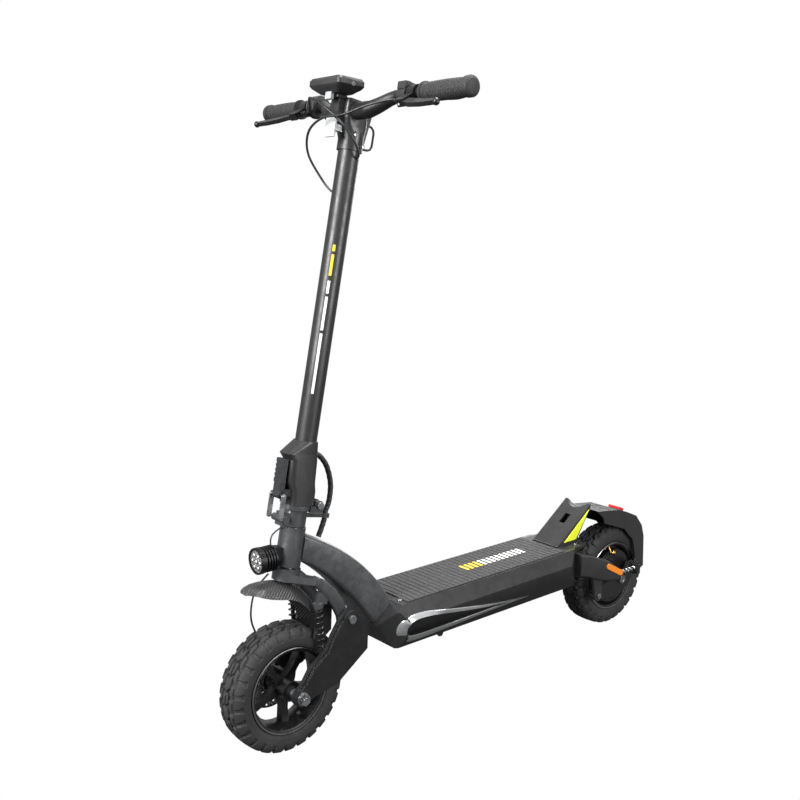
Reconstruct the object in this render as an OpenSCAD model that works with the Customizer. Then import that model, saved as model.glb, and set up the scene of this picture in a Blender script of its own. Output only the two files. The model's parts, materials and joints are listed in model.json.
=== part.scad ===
// Folding electric kick scooter with sprung front arms, sprung rear links and a hub motor.
// X points forward, Y to the rider's left, Z up. The origin is on the ground, midway between the axles.

/* [Overall] */
// Distance between the two wheel axles
wheelbase = 986; // [940:1:1190]
// Angle of the steering axis back from the vertical
rake = 11.5; // [10:0.5:13]
// Steering axis ahead of the front axle, at axle height
axis_lead = 31; // [28:1:34]
// Height of the grips above the axles, along the steering axis
bar_rise = 1142; // [1050:1:1250]
// Length of the handlebar from end to end
bar_len = 622; // [515:1:750]

/* [Wheels] */
// Outer diameter of both tyres
tyre_d = 255; // [250:1:262]
// Width of both tyres
tyre_w = 68; // [60:1:70]
// Width of the flat crown of the tread
tread_flat = 44; // [36:1:46]
// Outer diameter of the rim lips
rim_d = 169; // [164:1:172]
// Diameter of both brake discs
disc_d = 120; // [110:1:124]
// Diameter of the front axle
front_axle_d = 12; // [10:0.5:14]
// Diameter of the rear motor shaft
rear_axle_d = 14; // [12:0.5:16]

/* [Deck] */
// Height of the deck's top above the axles
deck_rise = 125; // [120:1:150]
// Height of the deck box
deck_h = 88; // [74:1:106]
// Width of the deck at its widest
deck_w = 184; // [172:1:220]
// Width of the lid and the foot mat
mat_w = 146; // [136:1:156]
// Wall of the deck box
deck_wall = 4; // [3:0.5:6]
// Distance from the front axle back to the deck's front face
deck_front_gap = 226; // [222:1:236]
// Distance from the rear axle forward to the deck's rear end
deck_rear_gap = 158; // [156:1:170]

/* [Steering head] */
// Outer diameter of the head tube
head_d = 50; // [46:1:54]
// Length of the head tube
head_len = 77; // [70:1:92]
// Diameter of the steerer tube
steerer_d = 30; // [26:1:32]

/* [Stem and handlebar] */
// Diameter of the stem tube
stem_d = 42; // [38:1:44]
// Wall of the stem tube
stem_wall = 2.5; // [2:0.5:4]
// Diameter of the handlebar at the grips
bar_d = 22.2; // [20:0.2:26]
// Diameter of the handlebar in its clamp
bar_mid_d = 31.8; // [28:0.2:34]
// Length of each grip
grip_len = 122; // [100:1:135]
// Diameter of the grips
grip_d = 34; // [30:1:38]
// Diameter of the folding pin
pin_d = 10; // [8:0.5:12]

/* [Fits] */
// Radial clearance of a turning fit
run_gap = 0.05; // [0.02:0.01:0.09]
// Gap between faces that move past each other
move_gap = 0.4; // [0.3:0.1:0.8]

/* [Hidden] */
$fn = 64;

tyre_r = tyre_d / 2;
front_x = wheelbase / 2;
rear_x = -wheelbase / 2;

// Stations along the steering axis, measured from axle height
crown_top = tyre_r + 118;
crown_h = 24;
head_lo = crown_top + 4;
head_hi = head_lo + head_len;
base_lo = head_hi + 1.5;
ring_top = base_lo + 42;
pin_s = ring_top + 2.5;
pin_q = -36;
block_top = pin_s + 121;
head_s = bar_rise - 95;
clamp_s = bar_rise - 24;

// Deck heights and ends
deck_top = tyre_r + deck_rise;
deck_bot = deck_top - deck_h;
deck_front = front_x - deck_front_gap;
deck_rear = rear_x + deck_rear_gap;
mat_h = 2.5;

// Front arm geometry: its pivot on the fork, seen from the front axle
arm_pivot_q = -122;
arm_pivot_s = tyre_r + 28.5;
arm_in = tyre_w / 2 + 23;
arm_out = arm_in + 14;

// Rear link geometry, relative to the rear axle
link_pivot = [97, -20];
link_in = 50;
link_out = 60;

// Front suspension springs, upright between the fork legs and the arms
spring_y = tyre_w / 2 + 12;
spring_d = 18;
wire_d = 3;

function lerp(a, b, t) = a + (b - a) * t;
function sx(q, s) = front_x + axis_lead + q * cos(rake) - s * sin(rake);
function sz(q, s) = tyre_r + q * sin(rake) + s * cos(rake);
function unit(v) = v / norm(v);

pivot_x = sx(arm_pivot_q, arm_pivot_s);
pivot_z = sz(arm_pivot_q, arm_pivot_s);
arm_ang = atan2(pivot_z - tyre_r, pivot_x - front_x);
arm_len = norm([pivot_x - front_x, pivot_z - tyre_r]);

// A closed loop with round corners: half sizes a and b, corner radius r, n steps a corner
function rrect(a, b, r, n = 4) = [for (c = [0:3]) for (i = [0:n])
    let (ang = (c + i / n) * 90, ca = (c == 0 || c == 3) ? 1 : -1, cb = (c < 2) ? 1 : -1)
    [ca * (a - r) + r * cos(ang), cb * (b - r) + r * sin(ang)]];

// A ring in a plane that contains Y: centre [x, y, z], thickness direction ang, half sizes a and b
function ring_y(c, ang, a, b, r) = [for (p = rrect(a, b, r))
    [c[0] + p[0] * cos(ang), c[1] + p[1], c[2] + p[0] * sin(ang)]];

// The end of a loft: one face, or strips between the two sides of an arch
function end_faces(n, arch) = arch
    ? [for (j = [0:n / 2 - 2]) each [[j, j + 1, n - 2 - j], [j, n - 2 - j, n - 1 - j]]]
    : [[for (j = [0:n - 1]) j]];

// A solid through equal rings
module loft(rings, arch = false) {
    n = len(rings[0]);
    m = len(rings);
    polyhedron([for (r = rings) each r], concat(
        end_faces(n, arch),
        [for (f = end_faces(n, arch)) [for (j = [len(f) - 1:-1:0]) (m - 1) * n + f[j]]],
        [for (i = [0:m - 2]) for (j = [0:n - 1]) let (k = (j + 1) % n)
            [i * n + j, (i + 1) * n + j, (i + 1) * n + k]],
        [for (i = [0:m - 2]) for (j = [0:n - 1]) let (k = (j + 1) % n)
            [i * n + j, (i + 1) * n + k, i * n + k]]), convexity = 6);
}

// Points of a smooth curve through the route P, k steps a span
function curve(P, k) = concat([for (i = [0:len(P) - 2]) for (j = [0:k - 1])
    let (t = j / k, a = P[max(i - 1, 0)], b = P[i], c = P[i + 1], d = P[min(i + 2, len(P) - 1)])
    0.5 * (2 * b + (c - a) * t + (2 * a - 5 * b + 4 * c - d) * t * t
        + (3 * b - a - 3 * c + d) * t * t * t)], [P[len(P) - 1]]);

// Rings of a tube of radius r along points P; ref is a direction the tube never takes
function tube_rings(P, r, n, ref) = [for (i = [0:len(P) - 1])
    let (t = unit(P[min(i + 1, len(P) - 1)] - P[max(i - 1, 0)]),
        u = unit(cross(ref, t)), v = cross(t, u))
    [for (j = [0:n - 1]) P[i] + r * (u * cos(j * 360 / n) + v * sin(j * 360 / n))]];

module tube(P, r, n = 8, ref = [0, 1, 0]) loft(tube_rings(P, r, n, ref));

// A coil spring standing on the XY plane
module coil(d, h, turns, wire) {
    steps = 14;
    total = turns * steps;
    P = [for (i = [0:total]) let (a = i * 360 / steps, f = i / total)
        [(d - wire) / 2 * cos(a), (d - wire) / 2 * sin(a), wire / 2 + f * (h - wire)]];
    tube(P, wire / 2, 6, [0, 0, 1]);
}

// Children drawn in XY stand up in the XZ plane, from y0 to y1
module plate_y(y0, y1) translate([0, y1, 0]) rotate([90, 0, 0]) linear_extrude(y1 - y0) children();

// A cylinder along Y at [x, z]
module rod_y(x, z, d, y0, y1) translate([x, y0, z]) rotate([-90, 0, 0]) cylinder(d = d, h = y1 - y0);

// A cylinder between two points
module rod(a, b, d) {
    v = b - a;
    translate(a) rotate([0, acos(v[2] / norm(v)), atan2(v[1], v[0])]) cylinder(d = d, h = norm(v));
}

module both() {
    children();
    mirror([0, 1, 0]) children();
}

// The steering axis' own frame: X is q, ahead of the axis, and Z runs up the axis
module steer() translate([front_x + axis_lead, 0, tyre_r]) rotate([0, -rake, 0]) children();

// The front arm's own frame: X from axle to pivot, Z down and back
module arm() translate([front_x, 0, tyre_r]) rotate([0, -arm_ang, 0]) children();

module at_front() translate([front_x, 0, tyre_r]) children();
module at_rear() translate([rear_x, 0, tyre_r]) children();

// ---- Frame and deck ----

// Slanted seat of the neck on the deck's front, and the neck's root on the head tube
seat_ang = 145;
seat_len = 62;
seat_c = [deck_front + 4, deck_top - 19.5];
root_c = [sx(-17, head_lo + head_len / 2), sz(-17, head_lo + head_len / 2)];
neck_bulge = 18;

function neck_at(t) =
    let (v = seat_c - root_c, n = unit([v[1], -v[0]]))
    root_c + v * t + n * neck_bulge * 4 * t * (1 - t);

module main_frame() color("dimgray") difference() {
    union() {
        loft([for (i = [0:12]) let (t = i / 12, c = neck_at(t),
                ang = lerp(90 + rake, seat_ang, 1 - (1 - t) * (1 - t)),
                a = lerp(27, seat_len / 2, t) + 20 * t * t * (1 - t),
                b = lerp(head_d / 2 - 3, 42, t))
            ring_y([c[0], 0, c[1]], ang, a, b, 9)]);
        steer() translate([0, 0, head_lo]) cylinder(d = head_d, h = head_len);
    }
    steer() translate([0, 0, head_lo - 1]) cylinder(d = steerer_d + 4, h = head_len + 2);
    steer() translate([0, 0, head_lo - 1]) cylinder(d = steerer_d + 12, h = 11);
    steer() translate([0, 0, head_hi - 10]) cylinder(d = steerer_d + 12, h = 11);
    deck_solid();
}

module headset_bearings() color("silver") steer() for (s = [head_lo, head_hi - 10])
    translate([0, 0, s]) difference() {
        cylinder(d = steerer_d + 12, h = 10);
        translate([0, 0, -1]) cylinder(r = steerer_d / 2 + run_gap, h = 12);
    }

// Cross-section of the deck, in Y and Z, shrunk by g all round
function deck_section(g) = [
    [mat_w / 2 - g, deck_top - g], [deck_w / 2 - g, deck_top - 30], [deck_w / 2 - g, deck_bot + 32],
    [deck_w / 2 - 14 - g, deck_bot + g], [-deck_w / 2 + 14 + g, deck_bot + g],
    [-deck_w / 2 + g, deck_bot + 32], [-deck_w / 2 + g, deck_top - 30], [-mat_w / 2 + g, deck_top - g]];

// A length of deck section from x0 to x1
module deck_bar(x0, x1, g) translate([x0, 0, 0]) rotate([90, 0, 90]) linear_extrude(x1 - x0)
    polygon(deck_section(g));

// Side outline of the deck, in X and Z
function deck_side(g) = [
    [deck_rear + g, deck_top - g], [deck_front - 22, deck_top - g],
    [deck_front + 30 - g, deck_top - 38], [deck_front + 22 - g, deck_top - 50],
    [deck_front - g, deck_bot + g],
    [deck_rear + 34 + g, deck_bot + g], [deck_rear + g, deck_top - 42]];

// Plan outline of the deck, in X and Y
module deck_plan(g) polygon([
    [deck_front + 32 - g, 50 - g], [deck_front - 26 - g, deck_w / 2 - g],
    [deck_rear + 72 + g, deck_w / 2 - g],
    [deck_rear + g, 46 - g], [deck_rear + g, -46 + g], [deck_rear + 72 + g, -deck_w / 2 + g],
    [deck_front - 26 - g, -deck_w / 2 + g], [deck_front + 32 - g, -50 + g]]);

lid_h = 3;
lid_front = deck_front - 30;
lid_rear = deck_rear + 6;

// The deck's outer shape, filled
module deck_solid() intersection() {
    deck_bar(deck_rear, deck_front + 32, 0);
    plate_y(-deck_w, deck_w) polygon(deck_side(0));
    translate([0, 0, deck_bot - 1]) linear_extrude(deck_h + 2) deck_plan(0);
}

module deck_shell() color("#26272a") difference() {
    union() {
        deck_solid();
        stand_mount();
    }
    intersection() {
        deck_bar(deck_rear + 60, deck_front + 10, deck_wall);
        translate([deck_rear + 70, -deck_w / 2, deck_bot + deck_wall])
            cube([lid_front - 12 - deck_rear - 70, deck_w, deck_h]);
    }
    translate([lid_rear, -mat_w / 2 + 8, deck_top - lid_h])
        cube([lid_front - lid_rear, mat_w - 16, lid_h + 1]);
    translate([deck_rear + 66, -mat_w / 2 + 14, deck_top - 12])
        cube([lid_front - 8 - deck_rear - 66, mat_w - 28, 13]);
    for (x = screw_x) for (y = screw_y)
        translate([x, y, deck_top - 16]) cylinder(d = 4, h = 20);
    translate([charge_x, -deck_w / 2 - 1, charge_z]) rotate([-90, 0, 0])
        cylinder(d = 18, h = 2 * deck_wall + 1);
}

// Kickstand bracket and pin, welded under the deck
module stand_mount() {
    rod(stand_pivot + stand_axis * (7 + move_gap), stand_pivot + stand_axis * 24, 22);
    translate([stand_x - 11, -deck_w / 2 + 14, deck_bot - 26]) cube([22, 18, 28]);
    rod(stand_pivot - stand_axis * 11, stand_pivot + stand_axis * 12, 8);
    rod(stand_pivot - stand_axis * 11, stand_pivot - stand_axis * (7 + move_gap), 14);
}

screw_x = [lid_rear + 8, lid_front - 4];
screw_y = [-50, 50];
charge_x = deck_rear + 130;
charge_z = deck_bot + 46;

module deck_lid() color("#2b2c30") difference() {
    translate([lid_rear + 0.2, -mat_w / 2 + 8.2, deck_top - lid_h])
        cube([lid_front - lid_rear - 0.4, mat_w - 16.4, lid_h]);
    for (x = screw_x) for (y = screw_y)
        translate([x, y, deck_top - lid_h - 1]) cylinder(d = 4.2, h = lid_h + 2);
}

mat_rear = deck_rear + 76;
groove_pitch = 14;

module deck_mat() color("#3a3b3d") difference() {
    translate([mat_rear, -mat_w / 2 + 4, deck_top]) cube([lid_front - 10 - mat_rear, mat_w - 8, mat_h]);
    for (x = [mat_rear + groove_pitch:groove_pitch:lid_front - 16])
        translate([x, -mat_w / 2, deck_top + 1.2]) cube([2.5, mat_w, mat_h]);
}

module deck_screws() color("silver") for (x = screw_x) for (y = screw_y) {
    translate([x, y, deck_top]) cylinder(d = 9, h = 2.2);
    translate([x, y, deck_top - 14]) cylinder(d = 4, h = 14);
}

// Long leaf-shaped trim on each flank
trim_front = deck_front - 34;
trim_len = 330;
trim_h = 22;

module side_trims() color("#c9cdd2") both() translate([0, deck_w / 2, deck_bot + deck_h / 2 - trim_h / 2])
    plate_y(0, 1.5) polygon([[trim_front, 3], [trim_front - 34, trim_h], [trim_front - 150, trim_h - 5],
        [trim_front - trim_len, 2], [trim_front - 150, 0], [trim_front - 20, 0]]);

module battery_pack() color("#2c5fa8")
    translate([deck_rear + 170, -58, deck_bot + deck_wall + 0.5])
        cube([deck_front - 60 - deck_rear - 170, 116, deck_h - 24 - deck_wall]);

module controller() color("silver")
    translate([deck_rear + 78, -50, deck_bot + deck_wall + 0.5]) cube([82, 100, 40]);

// Kickplate: sloping foot rest with a catch slot, open underneath
kick_foot = deck_rear + 68;
kick_run = 121;
kick_up = 86;
kick_hw = 39;
slot_at = 0.6;

module kickplate() color("#303134") difference() {
    union() {
        plate_y(-kick_hw, kick_hw) kick_skin();
        both() plate_y(kick_hw - 4, kick_hw) kick_side();
        plate_y(-kick_hw, kick_hw) kick_back();
        translate([kick_foot - 70, -kick_hw, deck_top]) cube([70, 2 * kick_hw, 3]);
    }
    translate([kick_foot - kick_run * slot_at, 0, deck_top + kick_up * slot_at])
        rotate([0, atan2(kick_up, kick_run), 0]) cube([30, 17, 40], center = true);
    translate([kick_foot - kick_run, 0, deck_top + kick_up + 34]) rotate([0, 90, 0])
        cylinder(r = 46, h = 40, center = true);
}

module kick_skin() polygon([
    [kick_foot, deck_top], [kick_foot - 7, deck_top], [kick_foot - kick_run - 1, deck_top + kick_up - 5],
    [kick_foot - kick_run, deck_top + kick_up]]);

module kick_back() polygon([
    [kick_foot - 66, deck_top], [kick_foot - 70, deck_top],
    [kick_foot - kick_run - 1, deck_top + kick_up - 8],
    [kick_foot - kick_run + 3, deck_top + kick_up - 8]]);

module kick_side() polygon([
    [kick_foot, deck_top], [kick_foot - 70, deck_top], [kick_foot - kick_run - 1, deck_top + kick_up - 8],
    [kick_foot - kick_run, deck_top + kick_up]]);

module kick_reflectors() color("#e8ef20") both() plate_y(kick_hw, kick_hw + 2) polygon([
    [kick_foot - 26, deck_top + 8], [kick_foot - 68, deck_top + 8],
    [kick_foot - kick_run + 6, deck_top + kick_up - 12]]);

// Rear stays: [ahead of the rear axle, above it, thickness angle, half depth, middle Y, half width]
stay_out = 79;
spring_seat_x = 22;
spring_z = 20;
stay_path = [[186, 82, 96, 26, stay_out - 13, 18], [150, 72, 100, 27, stay_out - 10, 13],
    [84, 45, 108, 26, stay_out - 9, 9], [spring_seat_x, spring_z, 90, 14, stay_out - 9, 8]];

module rear_stays() color("#4a4b4f") both() difference() {
    union() {
        at_rear() loft([for (p = stay_path) ring_y([p[0], p[4], p[1]], p[2], p[3], p[5], 5)]);
        at_rear() plate_y(link_out + move_gap, link_out + 8) polygon([
            [link_pivot[0] - 14, 30], [link_pivot[0] - 12, link_pivot[1] - 4],
            [link_pivot[0] + 10, link_pivot[1] - 6], [link_pivot[0] + 26, 40]]);
        at_rear() rod_y(link_pivot[0], link_pivot[1], 26, link_out + move_gap, link_out + 8);
    }
    at_rear() rod_y(link_pivot[0], link_pivot[1], 8 + 2 * run_gap, link_in, link_out + 20);
    deck_solid();
    stay_reflectors();
}

module stay_reflectors() color("#f0801c") both() at_rear() translate([51, stay_out - 0.5, 41])
    rotate([0, -29, 0]) plate_y(0, 3) {
        translate([-28, 0]) circle(d = 14);
        translate([28, 0]) circle(d = 14);
        translate([-28, -7]) square([56, 14]);
    }

// ---- Headlight ----
lamp_d = 50;
lamp_s = head_lo + 17;
lamp_x = sx(head_d / 2, lamp_s) + 14;
lamp_z = sz(head_d / 2, lamp_s) + 1;

module headlight_body() color("#1c1d1f") {
    translate([lamp_x, 0, lamp_z]) rotate([0, 90, 0]) {
        difference() {
            cylinder(d = lamp_d, h = 36);
            translate([0, 0, 28]) cylinder(d = lamp_d - 6, h = 10);
            for (k = [0:3]) translate([0, 0, 3 + k * 6]) difference() {
                cylinder(d = lamp_d + 2, h = 3);
                translate([0, 0, -1]) cylinder(d = lamp_d - 8, h = 5);
            }
        }
    }
    difference() {
        steer() translate([head_d / 2 - 3, -11, lamp_s - 6]) cube([22, 22, 26]);
        steer() translate([0, 0, lamp_s - 10]) cylinder(d = head_d, h = 40);
        translate([lamp_x, 0, lamp_z]) rotate([0, 90, 0]) cylinder(d = lamp_d + 4, h = 40);
    }
}

module headlight_lens() color("#e6ecf2") translate([lamp_x + 28, 0, lamp_z]) rotate([0, 90, 0])
    cylinder(d = lamp_d - 6, h = 5);

lead_end = [lamp_x + 1.5, lamp_z + lamp_d / 2];
lead_route = [[head_d / 2 + 0.15, 0, 72], [head_d / 2 + 6, 0, 71.6], [head_d / 2 + 20, 0, 60],
    [sq(lead_end[0], lead_end[1] + 10), 0, ss(lead_end[0], lead_end[1] + 10) - head_lo],
    [sq(lead_end[0], lead_end[1]), 0, ss(lead_end[0], lead_end[1]) - head_lo]];

module headlight_lead() color("black") steer() translate([0, 0, head_lo])
    tube(curve(lead_route, 2), 1.6);

// ---- Charging flap ----
module charge_cap() color("#1a1a1c") translate([charge_x, -deck_w / 2, charge_z]) rotate([90, 0, 0]) {
    cylinder(d = 28, h = 4);
    translate([-5, 11, 0]) cube([10, 5, 4]);
    translate([-7, 16, 2]) rotate([0, 90, 0]) cylinder(d = 4, h = 14);
}

// ---- Kickstand ----
stand_x = -120;
stand_pivot = [stand_x, -deck_w / 2, deck_bot - 8];
stand_foot = [stand_x + 22, -deck_w / 2 - 96, 8];
stand_fold = [stand_x - 190, -deck_w / 2 - 12, deck_bot - 14];
stand_axis = unit(cross(stand_foot - stand_pivot, stand_fold - stand_pivot));

module kickstand() color("#2a2a2c") difference() {
    union() {
        rod(stand_pivot + unit(stand_foot - stand_pivot) * 6, stand_foot, 13);
        translate(stand_foot) sphere(d = 16);
        rod(stand_pivot - stand_axis * 7, stand_pivot + stand_axis * 7, 24);
    }
    rod(stand_pivot - stand_axis * 9, stand_pivot + stand_axis * 9, 8 + 2 * run_gap);
}

// ---- Fork, on the steering axis ----
leg_in = tyre_w / 2 + 6;
leg_out = leg_in + 14;
// The crown's arms stop this far below its top, clear of the neck at full lock
crown_step = 10.5;

// Fork leg: [q, station below the crown's top, thickness angle, half thickness]
leg_path = [[-34, 15, 98, 9], [-52, 24, 118, 11.5], [-76, 41, 132, 13], [-98, 63, 138, 13],
    [-114, 84, 152, 13], [-121, 104, 172, 13]];

module fork() color("#5d6066") steer() difference() {
    union() {
        translate([0, 0, crown_top - crown_h]) cylinder(d = 54, h = crown_h);
        translate([0, 0, crown_top - crown_h]) linear_extrude(crown_h - crown_step) {
            polygon([[4, 27], [-36, leg_out], [-48, leg_out], [-48, leg_in], [-30, 20], [-30, -20],
                [-48, -leg_in], [-48, -leg_out], [-36, -leg_out], [4, -27]]);
        }
        both() loft([for (p = leg_path)
            ring_y([p[0], (leg_in + leg_out) / 2, crown_top - p[1]], p[2], p[3],
                (leg_out - leg_in) / 2, 4)]);
        both() rod_y(arm_pivot_q, arm_pivot_s, 32, leg_in, leg_out);
        translate([0, 0, crown_top - 1]) cylinder(d = steerer_d, h = base_lo + 30 - crown_top);
        both() translate([-70, spring_y - 6, crown_top - 62]) cube([20, 12, 24]);
        both() translate([spring_top[0], spring_y, spring_top[1]]) rotate([0, spring_tilt, 0])
            cylinder(d = spring_d + 1, h = 10);
    }
    both() rod_y(arm_pivot_q, arm_pivot_s, 10 + 2 * run_gap, leg_in - 1, leg_out + 1);
}

// Spring seats, in the steering frame
spring_top = [-55, crown_top - 70];
spring_base = [sq(front_x - 65, tyre_r + 80), ss(front_x - 65, tyre_r + 80)];
spring_len = norm(spring_top - spring_base);
spring_tilt = atan2(spring_top[0] - spring_base[0], spring_top[1] - spring_base[1]);
function sq(x, z) = (x - front_x - axis_lead) * cos(rake) + (z - tyre_r) * sin(rake);
function ss(x, z) = -(x - front_x - axis_lead) * sin(rake) + (z - tyre_r) * cos(rake);

module front_springs() color("#b9bcc0") steer() both() translate([spring_base[0], spring_y, spring_base[1]])
    rotate([0, spring_tilt, 0]) coil(spring_d, spring_len, 7, wire_d);

// Front fender: ridge points [q, station below the crown's bottom], then an arch across
fender_hw = 38;
fender_path = [[93, 25, 8], [90, 21, 17], [83, 14, 27], [71, 8, 34], [54, 4, 38], [30, 2, 40], [0, 3, 40],
    [-28, 12, 40], [-54, 31, 39], [-76, 56, 37], [-92, 82, 36]];
fender_drop = 24;

function fender_ring(p, n, hw, t) = let (k = 8) concat(
    [for (i = [0:k]) let (y = lerp(-hw, hw, i / k), d = fender_drop * pow(abs(y) / fender_hw, 2.2))
        [p[0] - n[0] * d, y, p[1] - n[1] * d]],
    [for (i = [k:-1:0])
        let (y = lerp(-hw + 2, hw - 2, i / k), d = fender_drop * pow(abs(y) / fender_hw, 2.2) + t)
        [p[0] - n[0] * d, y, p[1] - n[1] * d]]);

module front_fender() color("#232427") steer() {
    P = [for (p = fender_path) [p[0], crown_top - crown_h - p[1]]];
    loft([for (i = [0:len(P) - 1])
        let (v = unit(P[min(i + 1, len(P) - 1)] - P[max(i - 1, 0)]), n = [v[1], -v[0]])
        fender_ring(P[i], n, fender_path[i][2], 3)], true);
    translate([-12, -12, crown_top - crown_h - 6]) cube([24, 24, 6]);
}

// ---- Fold base, on the steerer tube ----
module fold_base() color("#6b6e74") steer() difference() {
    union() {
        translate([0, 0, base_lo]) cylinder(d = 46, h = ring_top - base_lo);
        translate([0, 0, ring_top - 9]) cylinder(d = 58, h = 9);
        translate([pin_q, -27, ring_top - 12]) cube([20, 54, 12]);
        rod_y(pin_q, pin_s, 18, -27, 27);
        translate([pin_q - 9, -27, ring_top - 12]) cube([18, 54, pin_s - ring_top + 12]);
        translate([15, -13, base_lo]) cube([20, 26, 26]);
        rod_y(33, base_lo + 13, 14, -21, 21);
        translate([-72, -4, ring_top - 26]) cube([52, 8, 8]);
        translate([-72, 0, ring_top - 26]) cylinder(d = 18, h = 8);
    }
    translate([pin_q - 20, -15, ring_top]) cube([80, 30, 30]);
    rod_y(pin_q, pin_s, 20 + 2 * move_gap, -15, 15);
    rod_y(pin_q, pin_s, pin_d + 2 * run_gap, -30, 30);
    translate([0, 0, base_lo - 1]) cylinder(d = steerer_d, h = 31);
    translate([-72, 0, ring_top - 27]) cylinder(r = loom_d / 2 + move_gap, h = 10);
}

module hinge_pin() color("silver") steer() {
    rod_y(pin_q, pin_s, pin_d, -30, 30);
    rod_y(pin_q, pin_s, pin_d + 4, -32, -27);
    rod_y(pin_q, pin_s, pin_d + 4, 27, 32);
}

// ---- Front arms, axle and wheel ----
function arm_outline(g) = [for (p = [[164, -21], [127, -16], [100, -8], [54, -19], [21, -14], [0, -17],
    [-14, 0], [-8, 18], [13, 28], [62, 63], [150, 82], [192, 47], [190, 22], [192, 0], [184, -18]])
    [p[0] * arm_len / 175.5 + g * (80 - p[0]) / 110, p[1] + g * (20 - p[1]) / 60]];

module front_arms() color("#222326") {
    arm() both() difference() {
        union() {
            plate_y(arm_in, arm_out - 5) polygon(arm_outline(0));
            plate_y(arm_out - 6, arm_out) polygon(arm_outline(9));
            rod_y(0, 0, 34, arm_in, arm_out + 1);
            rod_y(arm_len, 0, 34, arm_in, arm_out + 1);
        }
        rod_y(0, 0, front_axle_d, arm_in - 2, arm_out + 4);
        rod_y(arm_len, 0, 10, arm_in - 2, arm_out + 4);
    }
    steer() both() translate([spring_base[0], spring_y, spring_base[1]]) rotate([0, spring_tilt, 0])
        translate([0, 0, -9]) {
            cylinder(d = spring_d + 1, h = 9);
            translate([-6, 0, 0]) cube([12, arm_in - spring_y + 0.5, 9]);
        }
}

module front_axle() color("silver") {
    at_front() {
        rod_y(0, 0, front_axle_d, -84, 84);
        both() difference() {
            rod_y(0, 0, 22, hub_hw + move_gap, arm_in);
            rod_y(0, 0, front_axle_d, hub_hw - 1, arm_in + 1);
        }
        both() difference() {
            rod_y(0, 0, 26, arm_out + 1, arm_out + 3.5);
            rod_y(0, 0, front_axle_d, arm_out, arm_out + 4);
        }
        both() difference() {
            translate([0, arm_out + 3.5, 0]) rotate([-90, 30, 0]) cylinder(d = 22, h = 9, $fn = 6);
            rod_y(0, 0, front_axle_d, arm_out, arm_out + 14);
        }
    }
    arm() both() {
        rod_y(arm_len, 0, 10, leg_in - 3, arm_out + 4);
        rod_y(arm_len, 0, 17, arm_out + 1, arm_out + 5);
        rod_y(arm_len, 0, 16, leg_in - 6, leg_in - move_gap);
    }
}

hub_hw = 42;
disc_y = -40;

module front_rotor() color("#b8babd") at_front() disc();

module disc() difference() {
    rod_y(0, 0, disc_d, disc_y - 1.8, disc_y);
    rod_y(0, 0, 40, disc_y - 3, disc_y + 1);
    for (a = [0:30:330]) for (r = [disc_d / 2 - 6, disc_d / 2 - 12])
        rotate([0, a + r * 2, 0]) rod_y(r, 0, 4.5, disc_y - 3, disc_y + 1);
    for (a = [0:60:300]) rotate([0, a, 0]) rod_y(disc_d / 2 - 27, 0, 13, disc_y - 3, disc_y + 1);
}

module caliper_block() difference() {
    translate([30, -55, -17]) cube([40, 20, 34]);
    rod_y(0, 0, disc_d + 6, disc_y - 3, disc_y + 1.2);
}

module front_caliper() color("#2e3034") arm() {
    caliper_block();
    for (z = [-10, 10]) rod_y(64, z, 8, -arm_in, -52);
    rod_y(50, 0, 14, -arm_in + 0.6, -54);
}

// Tyre section, in radius and Y
function tyre_section() = [
    [rim_d / 2, -26.8], [rim_d / 2 + 3, -27], [rim_d / 2 + 6, -tyre_w / 2 + 4], [tyre_r - 26, -tyre_w / 2],
    [tyre_r - 16, -tyre_w / 2 + 0.6], [tyre_r - 5, -tyre_w / 2 + 4.5], [tyre_r, -tread_flat / 2],
    [tyre_r, tread_flat / 2], [tyre_r - 5, tyre_w / 2 - 4.5], [tyre_r - 16, tyre_w / 2 - 0.6],
    [tyre_r - 26, tyre_w / 2], [rim_d / 2 + 6, tyre_w / 2 - 4], [rim_d / 2 + 3, 27], [rim_d / 2, 26.8]];

module tyre() rotate([90, 0, 0]) rotate_extrude($fn = 96) polygon(tyre_section());

// Rim barrel section, in radius and Y
function barrel_section() = [
    [rim_d / 2, -31], [rim_d / 2 + 3, -31], [rim_d / 2 + 3, -27.2], [rim_d / 2, -27], [rim_d / 2, 27],
    [rim_d / 2 + 3, 27.2], [rim_d / 2 + 3, 31], [rim_d / 2, 31], [rim_d / 2 - 5, 29], [rim_d / 2 - 12, 8],
    [rim_d / 2 - 12, -8], [rim_d / 2 - 5, -29]];

module barrel() rotate([90, 0, 0]) rotate_extrude($fn = 96) polygon(barrel_section());

module front_rim() color("#1f2022") at_front() difference() {
    union() {
        barrel();
        rod_y(0, 0, 40, -34, 34);
        rod_y(0, 0, 26, 30, hub_hw);
        rod_y(0, 0, 48, disc_y, -30);
        for (k = [0:4]) rotate([0, k * 72 + 18, 0]) plate_y(-9, 9)
            polygon([[14, -11], [42, -6.5], [rim_d / 2 - 9, -9], [rim_d / 2 - 9, 9], [42, 6.5], [14, 11]]);
        rod_y(0, 0, 30, -hub_hw, disc_y + 1);
    }
    rod_y(0, 0, front_axle_d + 2 * run_gap, -hub_hw - 1, hub_hw + 1);
}

module front_tyre() color("#2d2d2e") at_front() tyre();

brake_route = [[8, -47, -26], [34, -46, -60], [36, -44, -110], [14, -45, -150], [-14, -46, -178]];

module front_brake_cable() color("black") steer() translate([0, 0, crown_top])
    tube(curve(brake_route, 3), 2, 8, [0, 1, 0]);

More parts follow.
